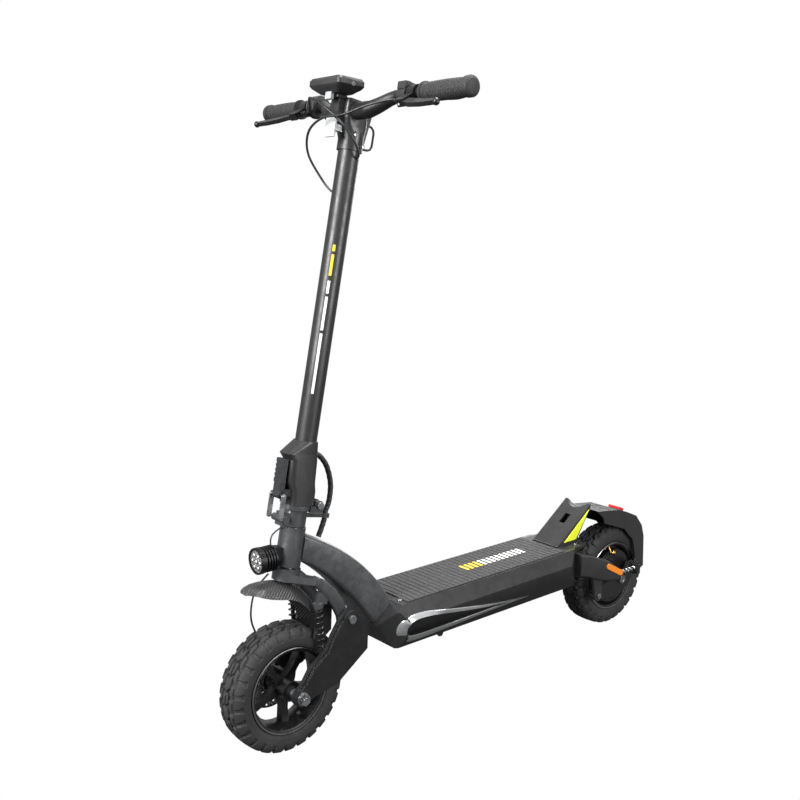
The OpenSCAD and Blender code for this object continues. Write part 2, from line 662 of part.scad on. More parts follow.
// ---- Stem ----
// Stem block: [station, half length, half width, corner, shift ahead of the steering axis]
block_path = [[ring_top + move_gap, 27, 26, 10, 0], [ring_top + 28, 27, 25, 10, 0],
    [ring_top + 44, 31, 24, 12, 6], [ring_top + 86, 31.5, 22, 13, 7],
    [ring_top + 97, 36, 21, 13, 12.5], [ring_top + 103, 33, 21, 14, 9.5],
    [block_top - 3, 24.5, 24, 22, 1], [block_top, 23.5, 23.5, 22.8, 0]];

module stem_block() color("#36383c") steer() difference() {
    union() {
        loft([for (p = block_path)
            [for (c = rrect(p[1], p[2], p[3])) [c[0] + p[4], c[1], p[0]]]]);
        rod_y(pin_q, pin_s, 20, -14.5, 14.5);
        translate([pin_q, -14.5, ring_top + move_gap]) cube([20, 29, 12]);
        both() translate([20, 11, pin_s + 14]) cube([latch_q - 20, 4.5, 13]);
        both() rod_y(latch_q, pin_s + 20, 14, 11, 15.5);
    }
    rod_y(pin_q, pin_s, pin_d + 2 * run_gap, -40, 40);
    rod_y(latch_q, pin_s + 20, 6 + 2 * run_gap, -40, 40);
    translate([0, 0, ring_top + 50]) cylinder(d = stem_d, h = 200);
    rod_y(pin_q, pin_s, 21, -40, -14.5);
    rod_y(pin_q, pin_s, 21, 14.5, 40);
    translate([-50, 0, block_top - 26]) rotate([0, 90, 0]) cylinder(d = 13, h = 50);
}

module stem_tube() color("#2f3033") steer() difference() {
    translate([0, 0, ring_top + 50]) cylinder(d = stem_d, h = head_s + 30 - ring_top - 50);
    translate([0, 0, ring_top + 49]) cylinder(d = stem_d - 2 * stem_wall, h = head_s + 40 - ring_top);
    translate([-50, 0, block_top - 26]) rotate([0, 90, 0]) cylinder(d = 13, h = 50);
    translate([-4, 0, head_s - 12]) rotate([-90, 0, 0]) cylinder(d = 7, h = 40);
    translate([0, 0, head_s - 78]) rotate([90, 0, 0]) cylinder(d = 7, h = 40);
}

// Stem head: sleeve on the tube, bar clamp, rear web with the fold catch, and a bag hook
module stem_head() color("#26272a") steer() difference() {
    union() {
        head_collar();
        head_body();
        plate_y(-11, 11) polygon([[-14, head_s + 4], [-14, clamp_s + 16], [-34, clamp_s + 10],
            [-32, clamp_s - 6], [-22, head_s + 6]]);
        plate_y(-5, 5) polygon([[-30, clamp_s + 8], [-33, clamp_s + 32], [-50, clamp_s + 33],
            [-50, clamp_s + 24], [-41, clamp_s + 22], [-36, clamp_s - 2]]);
        tube([for (p = hook_route) [p[0], 0, head_s + p[1]]], 2.2, 8);
    }
    rod_y(bar_q, clamp_s, bar_mid_d, -40, 40);
    translate([0, 0, head_s - 1]) cylinder(d = stem_d, h = 31);
}

// The collar and the body, from which the reflector is cut back
module head_collar() translate([0, 0, head_s]) cylinder(d = stem_d + 7, h = 34);

module head_body() loft([for (p = [[head_s + 20, 0, 24, 22, 20], [head_s + 44, 4, 26, 22, 12],
        [clamp_s - 6, 9, 26, 24, 8], [clamp_s + 20, 12, 22, 24, 8]])
    [for (c = rrect(p[2], p[3], p[4])) [c[0] + p[1], c[1], p[0]]]]);

// Bag hook: a bent wire behind the web, above the head's foot
hook_route = [[-26, 60], [-44, 56], [-49, 52], [-51, 46], [-51, 22], [-48, 15], [-42, 12], [-24, 10]];

// Handlebar: thick middle, tapered risers, straight ends
bar_q = 12;
bar_mid = 58;
bar_bend = 118;
end_q = -5;
bar_knee = [end_q, bar_bend, bar_rise];
bar_root = [bar_q, bar_mid, clamp_s];

// Bar bend: [share of the rise, offset along the bar, change of diameter]
bend_path = [[0, -8, -0.4], [0, 0, -0.2], [0.08, 0, -0.6], [0.35, 0, 0], [0.7, 0, 0],
    [0.93, 0, 0.5], [1, 0, 0.2], [1, 8, -0.3]];

module handlebar() color("#2c2d30") steer() {
    rod_y(bar_q, clamp_s, bar_mid_d, -bar_mid, bar_mid);
    both() {
        loft([for (p = bend_path)
            let (c = lerp(bar_root, bar_knee, p[0] * p[0] * (3 - 2 * p[0])),
                d = lerp(bar_mid_d, bar_d, p[0]) + p[2], y = lerp(bar_mid, bar_bend, p[0]) + p[1])
            [for (j = [0:23]) [c[0] + d / 2 * cos(j * 15), y, c[2] - d / 2 * sin(j * 15)]]]);
        rod_y(end_q, bar_rise, bar_d, bar_bend, bar_len / 2 - 6);
    }
}

grip_in = bar_len / 2 - grip_len;

module grips() color("#1d1d1e") steer() both() difference() {
    union() {
        rod_y(end_q, bar_rise, grip_d, grip_in, bar_len / 2 - 16);
        rod_y(end_q, bar_rise, grip_d + 6, grip_in, grip_in + 4);
        translate([end_q, bar_len / 2 - 16, bar_rise]) rotate([-90, 0, 0])
            cylinder(d1 = grip_d, d2 = grip_d - 6, h = 16);
    }
    rod_y(end_q, bar_rise, bar_d, grip_in - 1, bar_len / 2 - 6);
}

// Lever perches: split ring on the bar and two cheeks that hold the lever
perch_y = grip_in - 24;
lever_q = 22;
lever_s = bar_rise - 16;
lever_ang = 38;

module lever_frame() translate([end_q, 0, bar_rise]) rotate([0, lever_ang, 0]) children();

module perches() color("#232427") steer() both() difference() {
    lever_frame() union() {
        rod_y(0, 0, bar_d + 10, perch_y - 9, perch_y + 9);
        translate([8, perch_y - 9, -7]) cube([34, 20, 14]);
        translate([30, perch_y - 1, 0]) cylinder(d = 22, h = 14, center = true);
        translate([27, perch_y - 28, 0]) rotate([-90, 0, 0]) cylinder(d = 8, h = 24);
    }
    rod_y(end_q, bar_rise, bar_d, 0, bar_len);
    lever_frame() translate([32, perch_y, 0]) cylinder(d = 24, h = 8 + 2 * move_gap, center = true);
    lever_frame() translate([22, perch_y, -4 - move_gap]) cube([40, 40, 8 + 2 * move_gap]);
    lever_frame() translate([32, perch_y, 0]) cylinder(r = 2.5 + run_gap, h = 20, center = true);
}

lever_len = 108;

module brake_lever() steer() lever_frame() translate([32, perch_y, 0]) {
    cylinder(d = 18, h = 8, center = true);
    cylinder(d = 5, h = 14, center = true);
    linear_extrude(8, center = true) polygon([[-5, 8.5], [8.5, 2], [24, 34], [30, 70],
        [30, lever_len - 4], [26, lever_len], [19, lever_len - 2], [14, 74], [4, 34]]);
    translate([26, lever_len + 2, 0]) sphere(d = 13);
}

module brake_lever_l() color("#1b1b1d") brake_lever();
module brake_lever_r() color("#1b1b1d") mirror([0, 1, 0]) brake_lever();

// Display: bevelled case on a neck, ahead of the clamp
case_q = 50;
case_s = bar_rise + 14;
case_hl = 31;
case_hw = 48;

// Display case: [height, half length, half width, corner]
case_path = [[-16, 17, 30, 5], [-7, 28, 44, 7], [-2, 31, 48, 7], [6, 31, 48, 7], [11, 28, 45, 7]];

module display_case() color("#1d1e20") steer() difference() {
    union() {
        translate([case_q, 0, case_s]) rotate([0, 6, 0]) difference() {
            loft([for (p = case_path)
                [for (c = rrect(p[1], p[2], p[3])) [c[0], c[1], p[0]]]]);
            translate([0, 0, 10]) cube([2 * case_hl - 14, 2 * case_hw - 14, 4], center = true);
        }
        loft([for (p = [[clamp_s + 16, 44, 12, 17], [clamp_s + 20, 44, 12, 17], [case_s - 14, 51, 14, 19]])
            [for (c = rrect(p[2], p[3], 4)) [c[0] + p[1], c[1], p[0]]]]);
        translate([34, -13, clamp_s - 14]) cube([14, 26, 31]);
    }
    rod_y(bar_q, clamp_s, bar_mid_d + 1, -40, 40);
    head_body();
    translate([case_q - 2, case_hw - 6, case_s]) rotate([-90, 0, 0]) cylinder(r = 4 + 0.4, h = 12);
}

module display_screen() color("#0b0f16") steer() translate([case_q, 0, case_s]) rotate([0, 6, 0])
    translate([0, 0, 9.5]) cube([2 * case_hl - 14.4, 2 * case_hw - 14.4, 3], center = true);

module power_button() color("#9a2020") steer() translate([case_q - 2, case_hw - 4, case_s])
    rotate([-90, 0, 0]) cylinder(r = 4, h = 6);

module front_reflector() color("#d7dade") steer() difference() {
    translate([48, 0, clamp_s - 36]) {
        translate([0, -15, -20]) cube([4, 30, 40]);
        translate([-24, -6, -6]) cube([24, 12, 12]);
    }
    head_body();
    head_collar();
}

// Left switch pod with a horn button; right thumb throttle
pod_y = perch_y - 25;

module switch_pod() color("#232326") steer() difference() {
    union() {
        rod_y(end_q, bar_rise, bar_d + 9, pod_y - 12, pod_y + 10);
        translate([end_q - 15, pod_y - 12, bar_rise + 8]) cube([30, 22, 13]);
    }
    rod_y(end_q, bar_rise, bar_d, pod_y - 20, pod_y + 20);
    translate([end_q, pod_y - 1, bar_rise + 14]) cylinder(r = 5.4, h = 20);
}

module horn_button() color("#b01818") steer() translate([end_q, pod_y - 1, bar_rise + 16.5])
    cylinder(r = 5, h = 8);

throttle_y = -perch_y + 36;

module throttle_body() color("#1c1c1f") steer() difference() {
    rod_y(end_q, bar_rise, 44, throttle_y - 14, throttle_y + 10);
    rod_y(end_q, bar_rise, bar_d, throttle_y - 30, throttle_y + 30);
    translate([end_q, throttle_y - 14 + 4, bar_rise]) rotate([-90, 0, 0]) difference() {
        cylinder(d = 60, h = 10);
        translate([0, 0, -1]) cylinder(d = 30, h = 12);
    }
}

module throttle_paddle() color("#101012") steer() {
    difference() {
        union() {
            rod_y(end_q, bar_rise, 40, throttle_y - 10 + move_gap, throttle_y - move_gap);
            translate([end_q, 0, bar_rise]) rotate([0, 35, 0]) plate_y(throttle_y - 9.4, throttle_y - 1)
                polygon([[-12, -16], [-44, -14], [-50, -9], [-46, -5], [-14, 2]]);
        }
        rod_y(end_q, bar_rise, 30 + 2 * run_gap, throttle_y - 30, throttle_y + 30);
    }
}

// ---- Cables, from each lever round the front of the stem into the tube ----
cable_q = end_q + 27 * cos(lever_ang);
cable_s = -27 * sin(lever_ang);
right_route = [[cable_q, -perch_y + 28, cable_s], [cable_q + 3, -perch_y + 42, cable_s + 3], [44, -90, -8],
    [72, -48, -10], [70, -4, -28], [50, 32, -56], [22, 42, -84], [2, 34, -103],
    [-4, stem_d / 2 - 2, head_s - 12 - bar_rise]];
left_route = [[cable_q, perch_y - 28, cable_s], [cable_q + 3, perch_y - 42, cable_s + 3], [40, 88, -26],
    [58, 44, -44], [68, -6, -50], [66, -46, -72], [46, -66, -108], [14, -54, -150], [2, -36, -169],
    [0, -stem_d / 2 + 2, head_s - 78 - bar_rise]];

module brake_cables() color("black") steer() translate([0, 0, bar_rise]) {
    tube(curve(right_route, 2), 2.4, 8, [1, 0, 0.3]);
    tube(curve(left_route, 2), 2.4, 8, [1, 0, -0.3]);
}

// Wrapped loom from the stem's back to the clip on the fold base, and on into the neck
loom_d = 11;
upper_route = [[-22, 0, 97.5], [-36, 0, 96], [-58, 0, 76], [-74, 0, 42], [-77, 0, 8], [-72.2, 0, -14],
    [-72, 0, -21.6]];
lower_route = [[-72, 0, -22.2], [-72, 0, -30], [-69, 0, -46], [-64, 0, -65.6]];

module cable_upper() color("#18181a") steer() translate([0, 0, ring_top])
    tube(curve(upper_route, 2), loom_d / 2, 10);
module cable_lower() color("#18181a") steer() translate([0, 0, ring_top])
    tube(curve(lower_route, 2), loom_d / 2, 10);

// ---- Fold latch ----
latch_q = 38;

module latch_lever() color("#6f7278") steer() translate([latch_q, 0, pin_s + 20]) {
    rod_y(0, 0, 6, -18, 18);
    difference() {
        union() {
            rod_y(0, 0, 13, -10.5, 10.5);
            translate([2, -10.5, -4]) cube([12, 21, 60]);
            translate([4, -13, 18]) cube([10, 26, 46]);
            rod_y(8, -6, 13, -10.5, 10.5);
        }
        for (z = [26:9:53]) translate([12.5, -20, z]) cube([6, 40, 3]);
        rod_y(8, -6, 5 + 2 * run_gap, -11, 11);
    }
}

module latch_link() color("#c4c7cb") steer() translate([latch_q + 8, 0, pin_s + 14]) {
    rod_y(0, 0, 5, -22, 22);
    both() plate_y(18.4, 21.4) {
        circle(d = 10);
        translate([-5, -42]) square([10, 42]);
        translate([0, -42]) circle(d = 10);
    }
}

// ---- Rear links, axle, wheel and fender ----
module rear_links() color("#2d2e31") at_rear() both() {
    difference() {
        union() {
            plate_y(link_in, link_out) polygon([[link_pivot[0] + 6, link_pivot[1] + 13],
                [link_pivot[0] + 12, link_pivot[1] - 4], [link_pivot[0], link_pivot[1] - 13],
                [30, -42], [-14, -36],
                [-44, -8], [-50, 36], [-32, 36], [-22, 20], [20, 16], [56, 4]]);
            rod_y(link_pivot[0], link_pivot[1], 26, link_in, link_out);
            rod_y(0, 0, 40, link_in, link_out);
            translate([-50, link_in, spring_z - 12]) cube([11, 82 - link_in, 24]);
        }
        rod_y(0, 0, rear_axle_d, link_in - 1, link_out + 1);
        rod_y(link_pivot[0], link_pivot[1], 8, link_in - 1, link_out + 1);
    }
}

spring_in = 19;
spring_out = -39;

module rear_springs() color("#c8cacd") at_rear() both() translate([spring_out + 0.2, 70, spring_z])
    rotate([0, 90, 0]) coil(20, spring_seat_x - spring_out - 0.4, 5, wire_d);

module rear_axle() color("silver") at_rear() {
    rod_y(0, 0, rear_axle_d, -66, 66);
    rod_y(0, 0, 100, -20, 20);
    both() {
        difference() {
            rod_y(0, 0, 24, -disc_y + move_gap, link_in);
            rod_y(0, 0, rear_axle_d, 38, link_in + 1);
        }
        difference() {
            translate([0, link_out, 0]) rotate([-90, 30, 0]) cylinder(d = 24, h = 7, $fn = 6);
            rod_y(0, 0, rear_axle_d, link_out - 1, link_out + 10);
        }
        rod_y(link_pivot[0], link_pivot[1], 8, link_in - 1, link_out + 11);
        rod_y(link_pivot[0], link_pivot[1], 15, link_in - 4, link_in);
        rod_y(link_pivot[0], link_pivot[1], 14, link_out + 8 + move_gap, link_out + 12);
    }
}

motor_hw = 37;
motor_d = 137;
disc_side = 31;

module motor_shell() color("#1d1e20") at_rear() difference() {
    union() {
        barrel();
        rod_y(0, 0, rim_d - 18, -12, 12);
        rod_y(0, 0, motor_d, -disc_side, motor_hw - 4);
        rod_y(0, 0, motor_d - 12, motor_hw - 5, motor_hw);
        rod_y(0, 0, 48, disc_y, -disc_side + 1);
        for (a = [0:45:315]) rotate([0, a, 0]) {
            rod_y(57, 0, 8, motor_hw - 2, motor_hw + 2);
            rod_y(57, 0, 8, -disc_side - 2, -disc_side + 2);
        }
    }
    rod_y(0, 0, 106, -disc_side + 5, 30);
    rod_y(0, 0, rear_axle_d + 2 * run_gap, -60, 60);
}

module rear_tyre() color("#2d2d2e") at_rear() tyre();

module rear_rotor() color("#b8babd") at_rear() difference() {
    rod_y(0, 0, disc_d, disc_y - 1.8, disc_y);
    rod_y(0, 0, 40, disc_y - 3, disc_y + 1);
    for (a = [0:30:330]) for (r = [disc_d / 2 - 12, disc_d / 2 - 17])
        rotate([0, a + r * 2, 0]) rod_y(r, 0, 4, disc_y - 3, disc_y + 1);
}

module rear_caliper() color("#2e3034") at_rear() difference() {
    translate([30, -link_in, -17]) cube([40, 14, 30]);
    rod_y(0, 0, disc_d + 6, disc_y - 3, disc_y + 1.6);
}

// Rear fender: top, tail and wheel arch, relative to the rear axle
fender_top = [[81, 189], [0, 178], [-36, 165], [-74, 148], [-99, 118], [-109, 86]];
fender_tail = [[-112, 6], [-82, -8], [-70, 10]];
fender_arch = [[-76, 40], [-64, 85], [-26, 122], [20, 140], [54, 152], [60, 168], [81, 186]];

module rear_fender() color("#1f2023") at_rear() {
    plate_y(-46, 46) polygon(concat(fender_top,
        [for (i = [len(fender_top) - 1:-1:0]) fender_top[i] * (1 - 3 / norm(fender_top[i]))]));
    both() plate_y(43, 46) polygon(concat(fender_top, fender_tail, fender_arch));
    both() plate_y(43, link_in + 6) polygon([[-50, 9], [-60, -4], [-84, 0], [-80, 28], [-50, 28]]);
}

module tail_light() color("#c8141c") at_rear() translate([-56, -17, 157]) rotate([0, -24, 0])
    cube([22, 34, 7]);

main_frame();
headset_bearings();
deck_shell();
deck_lid();
deck_mat();
side_trims();
battery_pack();
controller();
kickplate();
kick_reflectors();
rear_stays();
stay_reflectors();
headlight_body();
headlight_lens();
headlight_lead();
deck_screws();
charge_cap();
kickstand();
fork();
fold_base();
hinge_pin();
front_fender();
front_arms();
front_axle();
front_caliper();
front_springs();
front_brake_cable();
front_rim();
front_tyre();
front_rotor();
stem_block();
stem_tube();
stem_head();
handlebar();
grips();
perches();
display_case();
display_screen();
front_reflector();
switch_pod();
throttle_body();
brake_cables();
cable_upper();
cable_lower();
latch_lever();
latch_link();
brake_lever_l();
brake_lever_r();
throttle_paddle();
horn_button();
power_button();
rear_links();
rear_axle();
rear_fender();
tail_light();
rear_springs();
rear_caliper();
motor_shell();
rear_tyre();
rear_rotor();
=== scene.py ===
import json
import math
import bmesh
import bpy
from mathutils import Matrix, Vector


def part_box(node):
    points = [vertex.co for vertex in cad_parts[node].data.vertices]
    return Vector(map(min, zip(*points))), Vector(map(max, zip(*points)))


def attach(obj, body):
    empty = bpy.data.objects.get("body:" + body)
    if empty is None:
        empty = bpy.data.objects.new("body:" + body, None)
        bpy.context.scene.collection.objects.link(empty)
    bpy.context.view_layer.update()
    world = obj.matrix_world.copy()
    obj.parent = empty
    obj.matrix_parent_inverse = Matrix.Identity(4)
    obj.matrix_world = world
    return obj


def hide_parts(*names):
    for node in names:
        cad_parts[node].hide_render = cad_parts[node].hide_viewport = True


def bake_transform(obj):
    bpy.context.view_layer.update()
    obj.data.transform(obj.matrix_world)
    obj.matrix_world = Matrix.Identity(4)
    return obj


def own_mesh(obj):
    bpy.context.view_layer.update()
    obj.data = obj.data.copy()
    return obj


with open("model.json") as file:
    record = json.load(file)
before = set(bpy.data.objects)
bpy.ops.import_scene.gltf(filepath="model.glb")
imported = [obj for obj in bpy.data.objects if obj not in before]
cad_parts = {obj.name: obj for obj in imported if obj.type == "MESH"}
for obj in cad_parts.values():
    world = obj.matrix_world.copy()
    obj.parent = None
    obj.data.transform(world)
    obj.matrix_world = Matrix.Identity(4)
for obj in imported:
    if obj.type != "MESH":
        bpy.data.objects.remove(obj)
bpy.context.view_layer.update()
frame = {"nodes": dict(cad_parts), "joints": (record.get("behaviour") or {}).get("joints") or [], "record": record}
nodes = frame["nodes"]
record = frame["record"]
slot_of = {s["node"]: s["material_slot"] for s in record["subparts"]}
MM = 0.001

# The steering frame: q ahead of the axis, s up the axis from axle height, both in millimetres
steer_joint = [j for j in frame["joints"] if j["name"] == "steering"][0]
axis_foot = Vector(steer_joint["pos_m"])
axis_up = Vector(steer_joint["axis"]).normalized()
axis_ahead = Vector((axis_up.z, 0, -axis_up.x))


def stem_point(q, y, s):
    """The point q, y, s of the steering frame, in metres in the shared frame."""
    return axis_foot + axis_ahead * (q * MM) + axis_up * (s * MM) + Vector((0, y * MM, 0))


# ---------------------------------------------------------------- materials
def link(tree, a, b):
    tree.links.new(a, b)


def noise(tree, coord, scale, detail):
    n = tree.nodes.new("ShaderNodeTexNoise")
    n.inputs["Scale"].default_value = scale
    n.inputs["Detail"].default_value = detail
    n.inputs["Roughness"].default_value = 0.55
    link(tree, coord, n.inputs["Vector"])
    return n.outputs["Fac"]


def remap(tree, value, lo, hi):
    """Stretch the middle of a noise value to run from lo to hi."""
    m = tree.nodes.new("ShaderNodeMapRange")
    m.inputs["From Min"].default_value = 0.35
    m.inputs["From Max"].default_value = 0.65
    m.inputs["To Min"].default_value = lo
    m.inputs["To Max"].default_value = hi
    link(tree, value, m.inputs["Value"])
    return m.outputs["Result"]


def math_node(tree, op, a, b):
    m = tree.nodes.new("ShaderNodeMath")
    m.operation = op
    for i, v in enumerate((a, b)):
        if isinstance(v, (int, float)):
            m.inputs[i].default_value = v
        else:
            link(tree, v, m.inputs[i])
    return m.outputs[0]


def scaled(tree, coord, scale, turn=(0, 0, 0)):
    m = tree.nodes.new("ShaderNodeMapping")
    m.inputs["Scale"].default_value = scale
    m.inputs["Rotation"].default_value = turn
    link(tree, coord, m.inputs["Vector"])
    return m.outputs["Vector"]


def wave(tree, coord, scale):
    w = tree.nodes.new("ShaderNodeTexWave")
    w.bands_direction = "X"
    w.wave_profile = "SIN"
    w.inputs["Scale"].default_value = scale
    w.inputs["Distortion"].default_value = 0.0
    link(tree, coord, w.inputs["Vector"])
    return w.outputs["Fac"]


def voronoi(tree, coord, scale):
    v = tree.nodes.new("ShaderNodeTexVoronoi")
    v.feature = "F1"
    v.inputs["Scale"].default_value = scale
    link(tree, coord, v.inputs["Vector"])
    return v.outputs["Distance"]


def surface(name, base, rough, metal=0.0, grain=1400.0, bump=0.06, blotch=9.0, vary=0.12,
            rough_vary=0.08, coat=0.0, pattern=None, depth=0.0004, transmission=0.0):
    """A principled material with clouded colour and gloss, fine grain and a bump pattern if one is given."""
    mat = bpy.data.materials.new(name)
    mat.use_nodes = True
    tree = mat.node_tree
    shader = tree.nodes["Principled BSDF"]
    coord = tree.nodes.new("ShaderNodeTexCoord").outputs["Object"]
    cloud = remap(tree, noise(tree, coord, blotch, 6.0), 0.0, 1.0)
    mix = tree.nodes.new("ShaderNodeMix")
    mix.data_type = "RGBA"
    mix.inputs[6].default_value = (*[c * (1 - vary) for c in base], 1)
    mix.inputs[7].default_value = (*[min(1, c * (1 + vary)) for c in base], 1)
    link(tree, cloud, mix.inputs[0])
    link(tree, mix.outputs[2], shader.inputs["Base Color"])
    smear = noise(tree, coord, blotch * 7, 5.0)
    link(tree, remap(tree, smear, max(0.02, rough - rough_vary), min(1, rough + rough_vary)),
         shader.inputs["Roughness"])
    shader.inputs["Metallic"].default_value = metal
    shader.inputs["Coat Weight"].default_value = coat
    shader.inputs["Coat Roughness"].default_value = 0.12
    shader.inputs["Transmission Weight"].default_value = transmission
    height = math_node(tree, "MULTIPLY", noise(tree, coord, grain, 2.0), bump)
    if pattern:
        height = math_node(tree, "ADD", height, pattern(tree, coord))
    b = tree.nodes.new("ShaderNodeBump")
    b.inputs["Strength"].default_value = 1.0
    b.inputs["Distance"].default_value = depth
    link(tree, height, b.inputs["Height"])
    link(tree, b.outputs["Normal"], shader.inputs["Normal"])
    return mat


def brushed(scale):
    def pattern(tree, coord):
        return math_node(tree, "MULTIPLY", noise(tree, scaled(tree, coord, scale), 60.0, 3.0), 0.5)
    return pattern


def fine_ribs(tree, coord):
    turned = scaled(tree, coord, (1, 1, 1), (0.5, 0.5, 0.75))
    return math_node(tree, "MULTIPLY", wave(tree, turned, 62.0), 1.0)


def leather_grain(tree, coord):
    return math_node(tree, "MULTIPLY", voronoi(tree, coord, 420.0), 0.7)


def sole_grain(tree, coord):
    return math_node(tree, "MULTIPLY", voronoi(tree, coord, 900.0), 0.35)


def lens_prisms(tree, coord):
    return math_node(tree, "MULTIPLY", voronoi(tree, coord, 330.0), 1.1)


LOOKS = {
    "frame_grey": dict(base=(0.115, 0.117, 0.122), rough=0.3, metal=0.75, coat=0.25, grain=2600, bump=0.10),
    "fork_grey": dict(base=(0.115, 0.117, 0.122), rough=0.3, metal=0.75, coat=0.25, grain=2600, bump=0.10),
    "deck_black": dict(base=(0.020, 0.020, 0.021), rough=0.40, metal=0.35, coat=0.2, grain=2200, bump=0.12),
    "lid_black": dict(base=(0.016, 0.016, 0.017), rough=0.5, metal=0.2, grain=2200, bump=0.15),
    "mat_rubber": dict(base=(0.030, 0.030, 0.031), rough=0.72, grain=1500, bump=0.2, pattern=sole_grain),
    "trim_silver": dict(base=(0.62, 0.63, 0.64), rough=0.2, metal=0.85, coat=0.6, bump=0.02),
    "bearing_steel": dict(base=(0.55, 0.55, 0.56), rough=0.3, metal=1.0, pattern=brushed((1, 8, 1))),
    "battery_wrap": dict(base=(0.03, 0.09, 0.35), rough=0.3, coat=0.4),
    "controller_alu": dict(base=(0.42, 0.42, 0.43), rough=0.42, metal=1.0, pattern=brushed((1, 12, 1))),
    "kick_black": dict(base=(0.028, 0.028, 0.029), rough=0.46, metal=0.3, grain=1800, bump=0.2),
    "reflector_yellow": dict(base=(0.72, 0.80, 0.02), rough=0.22, coat=0.7,
                             pattern=lens_prisms, depth=0.0005),
    "stay_grey": dict(base=(0.045, 0.045, 0.047), rough=0.38, metal=0.5, coat=0.2, grain=2600, bump=0.1),
    "reflector_orange": dict(base=(0.85, 0.24, 0.01), rough=0.22, coat=0.7,
                             pattern=lens_prisms, depth=0.0005),
    "lamp_black": dict(base=(0.012, 0.012, 0.013), rough=0.4, metal=0.6, grain=2600, bump=0.15),
    "lens_clear": dict(base=(0.86, 0.89, 0.92), rough=0.08, coat=0.6, transmission=0.85, bump=0.02,
                       pattern=lens_prisms, depth=0.0002),
    "cable_black": dict(base=(0.012, 0.012, 0.013), rough=0.42, bump=0.1),
    "loom_wrap": dict(base=(0.016, 0.016, 0.017), rough=0.45, bump=0.1),
    "bolt_steel": dict(base=(0.50, 0.51, 0.53), rough=0.3, metal=1.0, pattern=brushed((1, 6, 1))),
    "flap_rubber": dict(base=(0.014, 0.014, 0.014), rough=0.7, pattern=leather_grain, depth=0.0002),
    "stand_black": dict(base=(0.018, 0.018, 0.019), rough=0.42, metal=0.4, coat=0.2),
    "latch_grey": dict(base=(0.055, 0.056, 0.059), rough=0.4, metal=0.7, grain=1500, bump=0.3),
    "link_silver": dict(base=(0.42, 0.43, 0.45), rough=0.3, metal=1.0, pattern=brushed((1, 1, 9))),
    "fender_black": dict(base=(0.030, 0.030, 0.031), rough=0.42, coat=0.2, pattern=fine_ribs, depth=0.0012),
    "arm_black": dict(base=(0.018, 0.018, 0.019), rough=0.32, metal=0.4, coat=0.4, grain=2400, bump=0.12),
    "axle_steel": dict(base=(0.40, 0.41, 0.42), rough=0.32, metal=1.0, pattern=brushed((1, 7, 1))),
    "caliper_black": dict(base=(0.03, 0.03, 0.032), rough=0.45, metal=0.6, grain=1500, bump=0.3),
    "spring_steel": dict(base=(0.40, 0.41, 0.42), rough=0.25, metal=1.0, pattern=brushed((4, 4, 1))),
    "rim_black": dict(base=(0.014, 0.014, 0.015), rough=0.36, metal=0.4, coat=0.35, grain=2400, bump=0.08),
    "tyre_black": dict(base=(0.022, 0.022, 0.0225), rough=0.78, grain=1600, bump=0.35, vary=0.25, blotch=16),
    "disc_steel": dict(base=(0.52, 0.53, 0.54), rough=0.26, metal=1.0, pattern=brushed((3, 3, 3))),
    "stem_black": dict(base=(0.024, 0.024, 0.025), rough=0.42, metal=0.4, coat=0.12, grain=2600, bump=0.14),
    "bar_black": dict(base=(0.020, 0.020, 0.021), rough=0.42, metal=0.4, grain=2600, bump=0.14),
    "grip_rubber": dict(base=(0.016, 0.016, 0.016), rough=0.66, pattern=leather_grain, depth=0.0007),
    "case_black": dict(base=(0.016, 0.016, 0.017), rough=0.5, grain=1800, bump=0.3),
    "screen_glass": dict(base=(0.004, 0.005, 0.007), rough=0.07, coat=1.0, bump=0.01, rough_vary=0.03),
    "reflector_white": dict(base=(0.46, 0.47, 0.48), rough=0.2, coat=0.6, pattern=lens_prisms, depth=0.0005),
    "lever_black": dict(base=(0.014, 0.014, 0.015), rough=0.38, metal=0.5, coat=0.2, grain=2400, bump=0.12),
    "button_grey": dict(base=(0.09, 0.09, 0.095), rough=0.4, grain=1500, bump=0.2),
    "spring_black": dict(base=(0.016, 0.016, 0.017), rough=0.35, metal=0.5, coat=0.3),
    "fender_gloss": dict(base=(0.016, 0.016, 0.017), rough=0.26, coat=0.5, grain=900, bump=0.02),
    "lamp_red": dict(base=(0.55, 0.01, 0.012), rough=0.18, coat=0.8, pattern=lens_prisms, depth=0.0004),
}
materials = {name: surface(name, **look) for name, look in LOOKS.items()}
brass = surface("valve_brass", (0.62, 0.36, 0.10), 0.28, metal=1.0, pattern=brushed((2, 2, 8)))
pale_mark = surface("pale_mark", (0.62, 0.62, 0.60), 0.5, grain=1800, bump=0.1)
yellow_mark = surface("yellow_mark", (0.80, 0.50, 0.02), 0.5, grain=1800, bump=0.1)
chip = surface("lamp_chip", (0.85, 0.83, 0.72), 0.25, coat=0.5)
mirror_cup = surface("lamp_cup", (0.75, 0.76, 0.78), 0.12, metal=1.0, bump=0.02)
lip_metal = surface("rim_lip", (0.34, 0.34, 0.35), 0.24, metal=1.0, pattern=brushed((1, 1, 1)))
# Light grey for the block on the display's neck: a painted highlight of the stem head's front face
painted_highlight_colour = surface("neck_block", (0.34, 0.35, 0.36), 0.45, grain=1400, bump=0.15)

